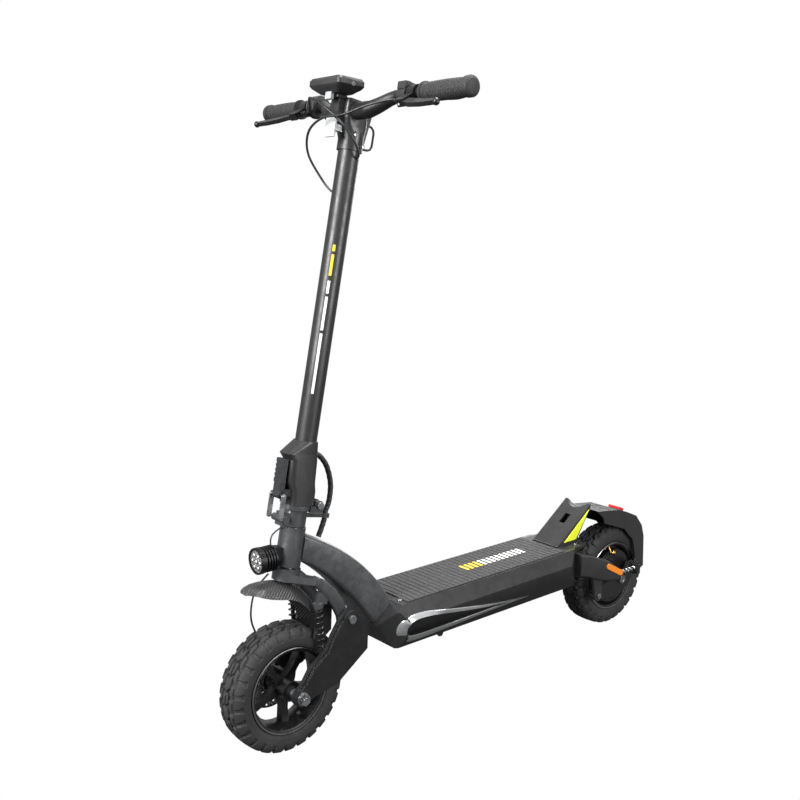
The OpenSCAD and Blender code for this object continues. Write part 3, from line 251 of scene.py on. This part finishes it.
# ---------------------------------------------------------------- CAD nodes: smooth faces, rounded edges
# Width of the rounded edges in millimetres, 0.5 where a node isn't listed
ROUND = {"deck_shell": 5.0, "main_frame": 1.6, "fork": 1.6, "kickplate": 1.2, "stem_block": 1.2,
         "stem_head": 1.2, "display_case": 1.2, "front_arms": 1.0, "rear_fender": 1.4,
         "rear_stays": 1.6, "fold_base": 0.9, "latch_lever": 0.9, "brake_lever_l": 1.8,
         "brake_lever_r": 1.8, "perches": 1.2, "switch_pod": 1.6,
         "throttle_body": 1.6, "throttle_paddle": 1.0, "front_rim": 1.2, "motor_shell": 1.2, "kickstand": 0.9,
         "front_caliper": 1.6, "rear_caliper": 1.6, "rear_links": 1.2, "deck_mat": 0.4, "tail_light": 1.4,
         "front_fender": 0.9, "battery_pack": 4.0, "controller": 2.0, "charge_cap": 1.0}
for name, obj in nodes.items():
    mesh = obj.data
    if "custom_normal" in mesh.attributes:
        mesh.attributes.remove(mesh.attributes["custom_normal"])
    mesh.materials.clear()
    mesh.materials.append(materials[slot_of[name]])
    for p in mesh.polygons:
        p.use_smooth = True
    weld = obj.modifiers.new("join", "WELD")
    weld.merge_threshold = 0.00001
    flat = obj.modifiers.new("flat", "DECIMATE")
    flat.decimate_type = "DISSOLVE"
    flat.angle_limit = math.radians(0.6)
    bevel = obj.modifiers.new("round", "BEVEL")
    bevel.width = ROUND.get(name, 0.5) * MM
    bevel.segments = 3
    bevel.limit_method = "ANGLE"
    bevel.angle_limit = math.radians(32)
    bevel.harden_normals = True
    bevel.use_clamp_overlap = True


# ---------------------------------------------------------------- mesh helpers
def add_mesh(name, verts, faces, material, body=None, replaces=(), sharp=35):
    """Make one object, and say what body it rides, what slot it has and what it replaces."""
    mesh = bpy.data.meshes.new(name)
    mesh.from_pydata([tuple(v) for v in verts], [], faces)
    mesh.validate()
    bm = bmesh.new()
    bm.from_mesh(mesh)
    bmesh.ops.recalc_face_normals(bm, faces=bm.faces)
    bm.to_mesh(mesh)
    bm.free()
    mesh.materials.append(material)
    obj = bpy.data.objects.new(name, mesh)
    bpy.context.scene.collection.objects.link(obj)
    for p in mesh.polygons:
        p.use_smooth = True
    mesh.set_sharp_from_angle(angle=math.radians(sharp))
    if body:
        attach(obj, body)
    if replaces:
        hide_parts(*replaces)
    return obj


def skin(rings, closed=False):
    """Vertices and faces of a tube through equal rings."""
    n = len(rings[0])
    m = len(rings)
    verts = [p for ring in rings for p in ring]
    faces = []
    for i in range(m if closed else m - 1):
        a = i * n
        b = ((i + 1) % m) * n
        for j in range(n):
            k = (j + 1) % n
            faces.append((a + j, a + k, b + k, b + j))
    if not closed:
        faces.append(tuple(range(n))[::-1])
        faces.append(tuple(range((m - 1) * n, m * n)))
    return verts, faces


def curve(points, k):
    """A smooth curve through points, k steps a span."""
    out = []
    for i in range(len(points) - 1):
        a = points[max(i - 1, 0)]
        b = points[i]
        c = points[i + 1]
        d = points[min(i + 2, len(points) - 1)]
        for j in range(k):
            t = j / k
            out.append(0.5 * (2 * b + (c - a) * t + (2 * a - 5 * b + 4 * c - d) * t * t
                              + (3 * b - a - 3 * c + d) * t * t * t))
    out.append(points[-1].copy())
    return out


def tube(points, radius, n=14, shape=None):
    """Rings along points; shape(i, angle) gives a factor on the radius."""
    rings = []
    side = None
    for i, p in enumerate(points):
        t = (points[min(i + 1, len(points) - 1)] - points[max(i - 1, 0)]).normalized()
        if side is None:
            side = t.orthogonal().normalized()
        side = (side - t * side.dot(t)).normalized()
        up = t.cross(side)
        ring = []
        for j in range(n):
            a = 2 * math.pi * j / n
            r = radius * (shape(i, a) if shape else 1.0)
            ring.append(p + side * (r * math.cos(a)) + up * (r * math.sin(a)))
        rings.append(ring)
    return skin(rings)


def merged(parts):
    """Several (vertices, faces) pairs as one."""
    verts = []
    faces = []
    for v, f in parts:
        base = len(verts)
        verts += list(v)
        faces += [tuple(base + i for i in face) for face in f]
    return verts, faces


# ---------------------------------------------------------------- tyres
TREAD_BLOCKS = 27
TREAD_DEPTH = 5.6
CENTRE_END = 9.5
MIDDLE_START = 10.9
MIDDLE_END = 21
SHOULDER_START = 22.4


def tread(u, y, r_share):
    """Height of the tread, 0 in a groove and 1 on a block. u is turns, y is millimetres off the middle."""
    def block(x, gap):
        d = abs((x % 1.0) - 0.5)
        return min(1.0, max(0.0, ((1 - gap) / 2 - d) * 14))
    a = abs(y)
    side = 1 if y > 0 else -1
    if a < CENTRE_END:
        shift = 0.30 * a / CENTRE_END
        edge = min(1, max(0, (CENTRE_END - a) / 1.2))
        split = 1 if a > 1.1 or (u * TREAD_BLOCKS) % 2 > 0.9 else 0
        return min(block(u * TREAD_BLOCKS + shift + (0.12 if side > 0 else 0), 0.16), edge, split)
    if a < MIDDLE_END:
        edge = min(1, max(0, (a - MIDDLE_START) / 1.0)) * min(1, max(0, (MIDDLE_END - a) / 1.0))
        shift = 0.5 if side > 0 else 0.0
        return min(block(u * TREAD_BLOCKS + 0.5 - 0.25 * (a - 10) / 11 + shift, 0.18), edge)
    edge = min(1, max(0, (a - SHOULDER_START) / 1.0))
    return min(block(u * TREAD_BLOCKS + (0.1 if side > 0 else 0.6), 0.2 if r_share > 0.5 else 0.36), edge)


def tyre(name, centre, radius, half_width, rim_radius, body, node):
    """A tyre as rings about its axle, the tread cut into their outer points."""
    steps = 680
    prof = []
    for i in range(13):
        t = i / 12
        ang = t * math.radians(98)
        bulge = math.sin(min(ang, math.pi / 2))
        prof.append((rim_radius + 3 + 17 * (1 - math.cos(ang)), 27 + (half_width - 27) * bulge))
    r0, y0 = prof[-1]
    for i in range(1, 15):
        t = i / 14
        ang = t * math.radians(84)
        rise = math.sin(ang) ** 1.05
        prof.append((r0 + (radius - 1.2 - r0) * rise, y0 - (y0 - 21.5) * (1 - math.cos(ang))))
    r1, y1 = prof[-1]
    for i in range(1, 23):
        y = y1 * (1 - i / 22)
        prof.append((r1 + (radius - r1) * math.sin((1 - y / y1) * math.pi / 2), y))
    half = [(rim_radius, 26.4)] + prof
    full = half + [(r, -y) for r, y in half[-2::-1]]
    rings = []
    for k in range(steps):
        u = k / steps
        ca = math.cos(2 * math.pi * u)
        sa = math.sin(2 * math.pi * u)
        ring = []
        for r, y in full:
            share = (r - rim_radius - 14) / (radius - rim_radius - 14)
            if share > 0.30:
                along = abs(y) if share > 0.93 else 22.5 + 9 * (1 - share)
                h = tread(u, along if y >= 0 else -along, share)
                fade = min(1, (share - 0.30) / 0.12)
                cut = TREAD_DEPTH * (1 - h) * fade
                r = r - cut * min(1, 0.35 + 0.65 * share)
                y = y - (1 if y > 0 else -1) * cut * 0.55 * (1 - share) * (1 if share < 0.93 else 0)
            elif 0.04 < share < 0.22:
                y = y + (0.5 if y > 0 else -0.5) * math.sin(share * 90) * (0.22 - share) * 4
            ring.append(centre + Vector((r * sa, y, r * ca)) * MM)
        rings.append(ring)
    verts, faces = skin(rings, closed=True)
    add_mesh(name, verts, faces, materials["tyre_black"], body, (node,), sharp=38)


front_lo, front_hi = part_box("front_tyre")
rear_lo, rear_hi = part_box("rear_tyre")
front_c = (front_lo + front_hi) / 2
rear_c = (rear_lo + rear_hi) / 2
tyre_r = (front_hi.z - front_lo.z) / 2 / MM
tyre_hw = (front_hi.y - front_lo.y) / 2 / MM
rim_r = (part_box("front_rim")[1].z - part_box("front_rim")[0].z) / 2 / MM - 3
tyre("tread_front", front_c, tyre_r, tyre_hw, rim_r, "front_wheel", "front_tyre")
tyre("tread_rear", rear_c, tyre_r, tyre_hw, rim_r, "rear_wheel", "rear_tyre")

# ---------------------------------------------------------------- cables, loom and springs
# The bar's place in the steering frame, and the stations that the looms' and the hose's points count from
BAR_Q = -5
BAR_S = 1142
RING_TOP = 370
CROWN_TOP = 245.5


def route(points):
    """Points of a bar cable, with their last number counted from the bar."""
    return [stem_point(q, y, s + BAR_S) for q, y, s in points]


right = [(16.3, -137, -16.6), (19.3, -123, -13.6), (44, -90, -8), (72, -48, -10), (70, -4, -28),
         (50, 32, -56), (22, 42, -84), (2, 34, -103), (-4, 19, -107)]
left = [(16.3, 137, -16.6), (19.3, 123, -13.6), (40, 88, -26), (58, 44, -44), (68, -6, -50),
        (66, -46, -72), (46, -66, -108), (14, -54, -150), (2, -36, -169), (0, -19, -173)]
v, f = merged([tube(curve(route(right), 14), 2.3 * MM, 12), tube(curve(route(left), 14), 2.3 * MM, 12)])
add_mesh("brake_hoses", v, f, materials["cable_black"], "stem", ("brake_cables",))


def spiral(points, radius, turns):
    """A loom with spiral wrap: a soft ridge winds along it."""
    total = len(points)
    return tube(points, radius, 20,
                lambda i, a: 1.0 + 0.10 * abs(math.sin((a - 2 * math.pi * turns * i / total) / 2)) - 0.05)


upper = [stem_point(q, y, s + RING_TOP) for q, y, s in
         [(-22, 0, 97.5), (-36, 0, 96), (-58, 0, 76), (-74, 0, 42), (-77, 0, 8),
          (-72.2, 0, -14), (-72, 0, -21.6)]]
lower = [stem_point(q, y, s + RING_TOP) for q, y, s in
         [(-72, 0, -22.2), (-72, 0, -30), (-69, 0, -46), (-64, 0, -65.6)]]
v, f = spiral(curve(upper, 26), 5.3 * MM, 17)
loom = add_mesh("loom_upper", v, f, materials["loom_wrap"], None, ("cable_upper",))
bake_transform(loom)
v, f = spiral(curve(lower, 22), 5.3 * MM, 5)
loom = add_mesh("loom_lower", v, f, materials["loom_wrap"], None, ("cable_lower",))
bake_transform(loom)

brake = [stem_point(q, y, s + CROWN_TOP) for q, y, s in
         [(8, -47, -26), (34, -46, -60), (36, -44, -110), (14, -45, -150), (-14, -46, -178)]]
v, f = tube(curve(brake, 12), 1.9 * MM, 12)
hose = add_mesh("front_hose", v, f, materials["cable_black"], None, ("front_brake_cable",))
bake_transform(hose)


# How far the springs stand off the middle; the rear springs' blend call says 70 as well
FRONT_SPRING_Y = 46
REAR_SPRING_Y = 70


def coil(foot, axis, length, radius, wire, turns):
    """A coil spring standing on foot along axis, its end turns flat."""
    axis = axis.normalized()
    side = axis.orthogonal().normalized()
    up = axis.cross(side)
    steps = turns * 28
    pts = []
    for i in range(steps + 1):
        t = i / steps
        lift = wire + (length - 2 * wire) * min(1, max(0, (t * turns - 0.8) / (turns - 1.6)))
        a = 2 * math.pi * turns * t
        pts.append(foot + axis * lift + side * (radius * math.cos(a)) + up * (radius * math.sin(a)))
    return tube(pts, wire, 10)


lo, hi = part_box("front_springs")
near = [w for w in nodes["front_springs"].data.vertices if w.co.y > 0]
low = [w.co for w in near if w.co.z < lo.z + 0.006]
high = [w.co for w in near if w.co.z > hi.z - 0.006]
foot = sum(low, Vector()) / len(low)
head = sum(high, Vector()) / len(high)
foot.y = head.y = (hi.y + lo.y) / 2 + FRONT_SPRING_Y * MM
run = head - foot
for tag, sign in (("l", 1), ("r", -1)):
    a = Vector((foot.x, sign * FRONT_SPRING_Y * MM, foot.z)) - run.normalized() * 2 * MM
    v, f = coil(a, run, run.length + 4 * MM, 7.6 * MM, 1.6 * MM, 8)
    core = tube([a + run.normalized() * (k * 0.1 * (run.length + 4 * MM)) for k in range(11)], 4.2 * MM, 16)
    v, f = merged([(v, f), core])
    spring = add_mesh("front_spring_" + tag, v, f, materials["spring_black"], "steerer",
                      ("front_springs",))
    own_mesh(spring)
lo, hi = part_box("rear_springs")
mid_z = (lo.z + hi.z) / 2
for tag, sign in (("l", 1), ("r", -1)):
    rear_end = Vector((lo.x, sign * REAR_SPRING_Y * MM, mid_z))
    v, f = coil(rear_end, Vector((1, 0, 0)), hi.x - lo.x, 6.6 * MM, 1.4 * MM, 6)
    middle = [Vector((lo.x + (hi.x - lo.x) * k / 10, sign * REAR_SPRING_Y * MM, mid_z)) for k in range(11)]
    v, f = merged([(v, f), tube(middle, 3.6 * MM, 16)])
    spring = add_mesh("rear_spring_" + tag, v, f, materials["spring_steel"], None,
                      ("rear_springs",))
    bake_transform(spring)


# ---------------------------------------------------------------- turned pieces about Y
def lathe(name, centre, profile, body, material):
    """profile is (radius, y) pairs in millimetres, closed on itself."""
    n = 96
    rings = []
    for k in range(n):
        a = 2 * math.pi * k / n
        rings.append([centre + Vector((r * math.sin(a), y, r * math.cos(a))) * MM for r, y in profile])
    v, f = skin(rings, closed=True)
    add_mesh(name, v, f, material, body, sharp=30)


def button(centre, axis, radius, height, n=32, dome=0.3):
    """Rings of a low domed disc standing on centre."""
    axis = axis.normalized()
    side = axis.orthogonal().normalized()
    up = axis.cross(side)
    rings = []
    for r, h in ((1, 0), (1, 1 - dome), (0.93, 1 - dome * 0.45), (0.75, 1 - dome * 0.12), (0.4, 1),
                 (0.02, 1)):
        rings.append([centre + axis * (h * height) + side * (r * radius * math.cos(2 * math.pi * j / n))
                      + up * (r * radius * math.sin(2 * math.pi * j / n)) for j in range(n)])
    return skin(rings)


def slab(outline, lift, thick, place):
    """A thin plate: outline points (a, b) placed by place(a, b, height)."""
    rings = [[place(a, b, lift) for a, b in outline], [place(a, b, lift + thick) for a, b in outline]]
    return skin(rings)


# Bright lip on each rim
for name, centre, body in (("rim_lip_front", front_c, "front_wheel"), ("rim_lip_rear", rear_c, "rear_wheel")):
    for side in (1, -1):
        prof = [(rim_r + 2.9, side * 31.1), (rim_r + 1.6, side * 32.0), (rim_r - 0.6, side * 31.6),
                (rim_r - 0.8, side * 30.8), (rim_r + 1.5, side * 30.2)]
        lathe(name + ("_l" if side > 0 else "_r"), centre, prof, body, lip_metal)


# Valve stems: a bent brass one on the motor's near side, a short rubber one in front
def valve(name, centre, body, turn, radius_in, points, wire, material):
    a = math.radians(turn)
    out = Vector((math.sin(a), 0, math.cos(a)))
    line = curve([centre + out * (radius_in - d) * MM + Vector((0, y, 0)) * MM for d, y in points], 10)
    n = len(line)
    v, f = tube(line, wire * MM, 20, lambda i, ang: 1.22 if i > n * 0.72 and i % 2 else 1.0)
    add_mesh(name, v, f, material, body)


valve("valve_rear", rear_c, "rear_wheel", 8, rim_r - 4,
      [(0, 26), (8, 29), (15, 34), (15, 41), (9, 44.5)], 3.1, brass)
valve("valve_front", front_c, "front_wheel", 200, rim_r - 6,
      [(0, 14), (8, 17), (18, 24), (24, 29)], 3.0, materials["cable_black"])


# ---------------------------------------------------------------- grips
GRIP_IN = 189
GRIP_OUT = 311


def grip(tag, sign):
    """Inner flange, a cross-cut middle with a palm swell, then a flared end with a domed cap."""
    rings = []
    steps = 150
    n = 64
    for i in range(steps + 1):
        t = i / steps
        y = GRIP_IN + (GRIP_OUT - GRIP_IN) * t
        ring = []
        for j in range(n):
            a = 2 * math.pi * j / n
            r = 15.6 + 1.1 * math.sin(math.pi * min(1, t * 1.2))
            if t < 0.035:
                r = 19.2
            elif t < 0.05:
                r = 19.2 - (t - 0.035) / 0.015 * 3.6
            if 0.12 < t < 0.86:
                back = max(0, math.cos(a - math.radians(205)))
                r += 3.0 * back ** 2 * math.sin(math.pi * min(1, max(0, (t - 0.45) / 0.4))) if t > 0.45 else 0
                cell = abs(math.sin(a * 11 + t * 62)) * abs(math.sin(a * 11 - t * 62))
                r += 1.5 * min(1, cell * 2.4) - 0.7
            if t > 0.88:
                r = 18.4 - 0.5 * (1 if (t - 0.88) * 60 % 2 > 1.6 else 0)
            if t > 0.95:
                r = 18.4 - 6.5 * ((t - 0.95) / 0.05) ** 2
            ring.append(stem_point(BAR_Q + r * math.cos(a), sign * y, BAR_S + r * math.sin(a)))
        rings.append(ring)
    v, f = skin(rings)
    add_mesh("grip_" + tag, v, f, materials["grip_rubber"], "stem", ("grips",), sharp=50)


grip("l", 1)
grip("r", -1)

# ---------------------------------------------------------------- flank trims that follow the deck's side
DECK_H = 88
DECK_HALF_W = 92.0
deck_lo, deck_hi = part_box("deck_shell")
deck_top = deck_hi.z / MM
deck_bot = deck_top - DECK_H


def flank_y(x, z):
    """Half width of the deck at x, z, in millimetres."""
    y = DECK_HALF_W
    if z > deck_top - 30:
        y -= (z - deck_top + 30) * 19 / 30
    if z < deck_bot + 32:
        y -= (deck_bot + 32 - z) * 14 / 32
    if x > 241:
        y -= (x - 241) * 42 / 58
    return y


def leaf(x0, x1, z0, rise, droop):
    """Upper and lower edge of a leaf with a round front at x1 and a long thin tail at x0."""
    n = 40
    top = []
    bottom = []
    for i in range(n + 1):
        t = i / n
        x = x0 + (x1 - x0) * (1 - (1 - t) ** 1.7)
        w = math.sin(math.pi * t ** 1.9) ** 0.62 if 0 < t < 1 else 0
        top.append((x, z0 + 8 * t + rise * w))
        bottom.append((x, z0 + 8 * t - droop * w))
    return top, bottom


PANEL_LOW = 188
PANEL_HIGH = 196


def flank_trim(tag, sign):
    """A silver ring on the deck's side, with a dark panel inside it."""
    outer = leaf(-122, 264, 184, 42, 17)
    inner = leaf(-62, 246, 188, 27, 7)
    loops_out = outer[0] + outer[1][-2:0:-1]
    loops_in = inner[0] + inner[1][-2:0:-1]

    def put(x, z, h):
        return Vector((x, sign * (flank_y(x, z) + h), z)) * MM

    rings = []
    for k, h in ((0, -1.0), (0, 1.0), (0.12, 2.0), (0.88, 2.0), (1, 1.0), (1, -1.0)):
        ring = []
        for a, b in zip(loops_out, loops_in):
            ring.append(put(a[0] + (b[0] - a[0]) * k, a[1] + (b[1] - a[1]) * k, h))
        rings.append(ring)
    v, f = skin([list(r) for r in zip(*rings)], closed=True)
    add_mesh("flank_ring_" + tag, v, f, materials["trim_silver"], "frame",
             ("side_trims",), sharp=40)
    rings = []
    for k, h in ((1.0, 0.2), (0.75, 0.7), (0.35, 0.8), (0.02, 0.8)):
        ring = []
        for x, z in loops_in:
            middle = min(max(z, PANEL_LOW), PANEL_HIGH)
            ring.append(put(x, middle + (z - middle) * k, h))
        rings.append(ring)
    v, f = skin(rings)
    add_mesh("flank_panel_" + tag, v, f, materials["lamp_black"], "frame", sharp=40)


flank_trim("l", 1)
flank_trim("r", -1)

# ---------------------------------------------------------------- plain stripes in place of lettering
STEM_R = 21
STRIPE_TURN = math.radians(50)
STRIPE_HALF = 0.12


def stem_stripe(name, s0, s1, material):
    """A thin stripe on the stem's near side, between two stations."""
    rings = []
    steps = 40
    for i in range(steps + 1):
        s = s0 + (s1 - s0) * i / steps
        ring = []
        for a, h in ((-STRIPE_HALF, -0.1), (-STRIPE_HALF, 0.25), (STRIPE_HALF, 0.25), (STRIPE_HALF, -0.1)):
            ang = STRIPE_TURN + a
            ring.append(stem_point((STEM_R + h) * math.cos(ang), (STEM_R + h) * math.sin(ang), s))
        rings.append(ring)
    v, f = skin(rings)
    add_mesh(name, v, f, material, "stem", sharp=20)


for k, (s0, s1) in enumerate(((585, 700), (706, 770), (776, 800))):
    stem_stripe("stem_mark_%d" % k, s0, s1, pale_mark)
for k, (s0, s1) in enumerate(((810, 850), (856, 868))):
    stem_stripe("stem_mark_y%d" % k, s0, s1, yellow_mark)


def mat_bar(name, x0, x1, y0, y1, material):
    """A thin stripe on the mat."""
    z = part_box("deck_mat")[1].z / MM
    outline = [(x0, y0), (x1, y0), (x1, y1), (x0, y1)]
    v, f = slab(outline, -0.15, 0.4, lambda a, b, h: Vector((a, b, z + h)) * MM)
    add_mesh(name, v, f, material, "frame", sharp=20)


BAR_PITCH = 14
BAR_W = 8
BAR_HALF_L = 15
FIRST_BAR = 4
FIRST_YELLOW = 14
LAST_BAR = 17
END_GAP = 26
mat_lo, mat_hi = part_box("deck_mat")
first = mat_lo.x / MM + BAR_PITCH
for k in range(FIRST_BAR, LAST_BAR + 1):
    if first + k * BAR_PITCH < mat_hi.x / MM - END_GAP:
        x = first + k * BAR_PITCH + 4
        mat_bar("mat_mark_%d" % k, x, x + BAR_W, -BAR_HALF_L, BAR_HALF_L,
                yellow_mark if k >= FIRST_YELLOW else pale_mark)

# ---------------------------------------------------------------- headlight: cups, chips and a toothed rim
lens_lo, lens_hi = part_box("headlight_lens")
lens_c = (lens_lo + lens_hi) / 2
lens_r = (lens_hi.z - lens_lo.z) / 2
chips = []
cups = []
spots = [(0, 0)] + [(math.cos(math.radians(60 * k)), math.sin(math.radians(60 * k))) for k in range(6)]
for a, b in spots:
    c = Vector((lens_hi.x - 0.0002, lens_c.y + a * lens_r * 0.60, lens_c.z + b * lens_r * 0.60))
    cups.append(button(c, Vector((1, 0, 0)), lens_r * 0.26, 0.0016, 24, 0.7))
    chips.append(button(c + Vector((0.0012, 0, 0)), Vector((1, 0, 0)), lens_r * 0.10, 0.0012, 16, 0.5))
v, f = merged(cups)
add_mesh("lamp_cups", v, f, mirror_cup, "frame")
v, f = merged(chips)
add_mesh("lamp_chips", v, f, chip, "frame")
body_lo, body_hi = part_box("headlight_body")
lamp_front = body_hi.x
teeth = []
for k in range(22):
    a = 2 * math.pi * k / 22
    out = Vector((0, math.cos(a), math.sin(a)))
    side = Vector((0, -math.sin(a), math.cos(a)))
    r0 = lens_r + 0.0022
    box = []
    for x in (lamp_front - 0.0105, lamp_front - 0.0005):
        box.append([Vector((x, lens_c.y, lens_c.z)) + out * (r0 + dr) + side * ds
                    for dr, ds in ((-0.0006, -0.0019), (0.0016, -0.0015), (0.0016, 0.0015),
                                   (-0.0006, 0.0019))])
    teeth.append(skin(box))
v, f = merged(teeth)
add_mesh("lamp_teeth", v, f, materials["lamp_black"], "frame", sharp=20)

# ---------------------------------------------------------------- painted highlight: a light grey block on the display's neck, standing where the stem head's front face shows a highlight
block = []
for h, g in ((0, 0.6), (0.8, 0), (7.2, 0), (8, 0.6)):
    block.append([stem_point(60 + h, 2 + y * (9 - g), 1135 + z * (8 - g))
                  for y, z in ((-1, -1), (1, -1), (1, 1), (-1, 1))])
v, f = skin(block)
add_mesh("display_block", v, f, painted_highlight_colour, "stem", sharp=20)


# ---------------------------------------------------------------- screws and small fittings
bolts = []
for y in (-1, 1):
    for q, s in ((-14, 1057), (8, 1075)):
        bolts.append(button(stem_point(q, y * 22.5, s), Vector((0, y, 0)), 3.2 * MM, 1.8 * MM, 24, 0.4))
v, f = merged(bolts)
add_mesh("head_bolts", v, f, materials["bolt_steel"], "stem")
DISC_BOLT_R = 21.5
DISC_Y = -41.8
for name, centre, body in (("disc_bolts_front", front_c, "front_wheel"),
                           ("disc_bolts_rear", rear_c, "rear_wheel")):
    bolts = []
    for k in range(6):
        a = math.radians(60 * k)
        spot = centre + Vector((DISC_BOLT_R * math.sin(a), DISC_Y, DISC_BOLT_R * math.cos(a))) * MM
        bolts.append(button(spot, Vector((0, -1, 0)), 2.4 * MM, 1.6 * MM, 20, 0.3))
    v, f = merged(bolts)
    add_mesh(name, v, f, materials["bolt_steel"], body)

# ---------------------------------------------------------------- camera, light, finish
scene = bpy.context.scene
cam = bpy.data.objects.new("camera", bpy.data.cameras.new("camera"))
scene.collection.objects.link(cam)
cam.location = (1.491, 1.546, 1.034)
cam.rotation_euler = Vector((-0.634, -0.751, -0.184)).to_track_quat("-Z", "Y").to_euler()
cam.data.lens = 44.94
cam.data.shift_x = -0.0019
cam.data.shift_y = 0.0036
scene.camera = cam


def area(name, spot, aim, size, power):
    """A rectangular light at spot, turned to aim."""
    data = bpy.data.lights.new(name, "AREA")
    data.shape = "RECTANGLE"
    data.size = size[0]
    data.size_y = size[1]
    data.energy = power
    obj = bpy.data.objects.new(name, data)
    scene.collection.objects.link(obj)
    obj.location = spot
    obj.rotation_euler = (Vector(aim) - Vector(spot)).to_track_quat("-Z", "Y").to_euler()


area("key", (2.6, 0.2, 1.9), (0, 0, 0.4), (1.2, 1.6), 150)
area("fill", (-0.6, 2.8, 1.2), (0, 0, 0.4), (1.2, 1.2), 62)
area("top", (-0.4, 0.2, 3.0), (0, 0, 0.3), (2.0, 1.0), 95)
area("back", (-2.4, -1.2, 1.6), (0, 0, 0.4), (1.6, 1.6), 35)

world = bpy.data.worlds.new("studio")
scene.world = world
world.use_nodes = True
wt = world.node_tree
wt.nodes.clear()
out = wt.nodes.new("ShaderNodeOutputWorld")
coord = wt.nodes.new("ShaderNodeTexCoord").outputs["Generated"]
split = wt.nodes.new("ShaderNodeSeparateXYZ")
link(wt, coord, split.inputs[0])
room = wt.nodes.new("ShaderNodeBackground")
tone = wt.nodes.new("ShaderNodeMapRange")
tone.inputs["From Min"].default_value = -0.6
tone.inputs["From Max"].default_value = 0.9
tone.inputs["To Min"].default_value = 0.12
tone.inputs["To Max"].default_value = 0.95
link(wt, split.outputs["Z"], tone.inputs["Value"])
link(wt, tone.outputs["Result"], room.inputs["Strength"])
white = wt.nodes.new("ShaderNodeBackground")
white.inputs["Color"].default_value = (1, 1, 1, 1)
white.inputs["Strength"].default_value = 1.0
rays = wt.nodes.new("ShaderNodeLightPath")
mixer = wt.nodes.new("ShaderNodeMixShader")
link(wt, rays.outputs["Is Camera Ray"], mixer.inputs[0])
link(wt, room.outputs[0], mixer.inputs[1])
link(wt, white.outputs[0], mixer.inputs[2])
link(wt, mixer.outputs[0], out.inputs[0])
scene.view_settings.view_transform = "Standard"
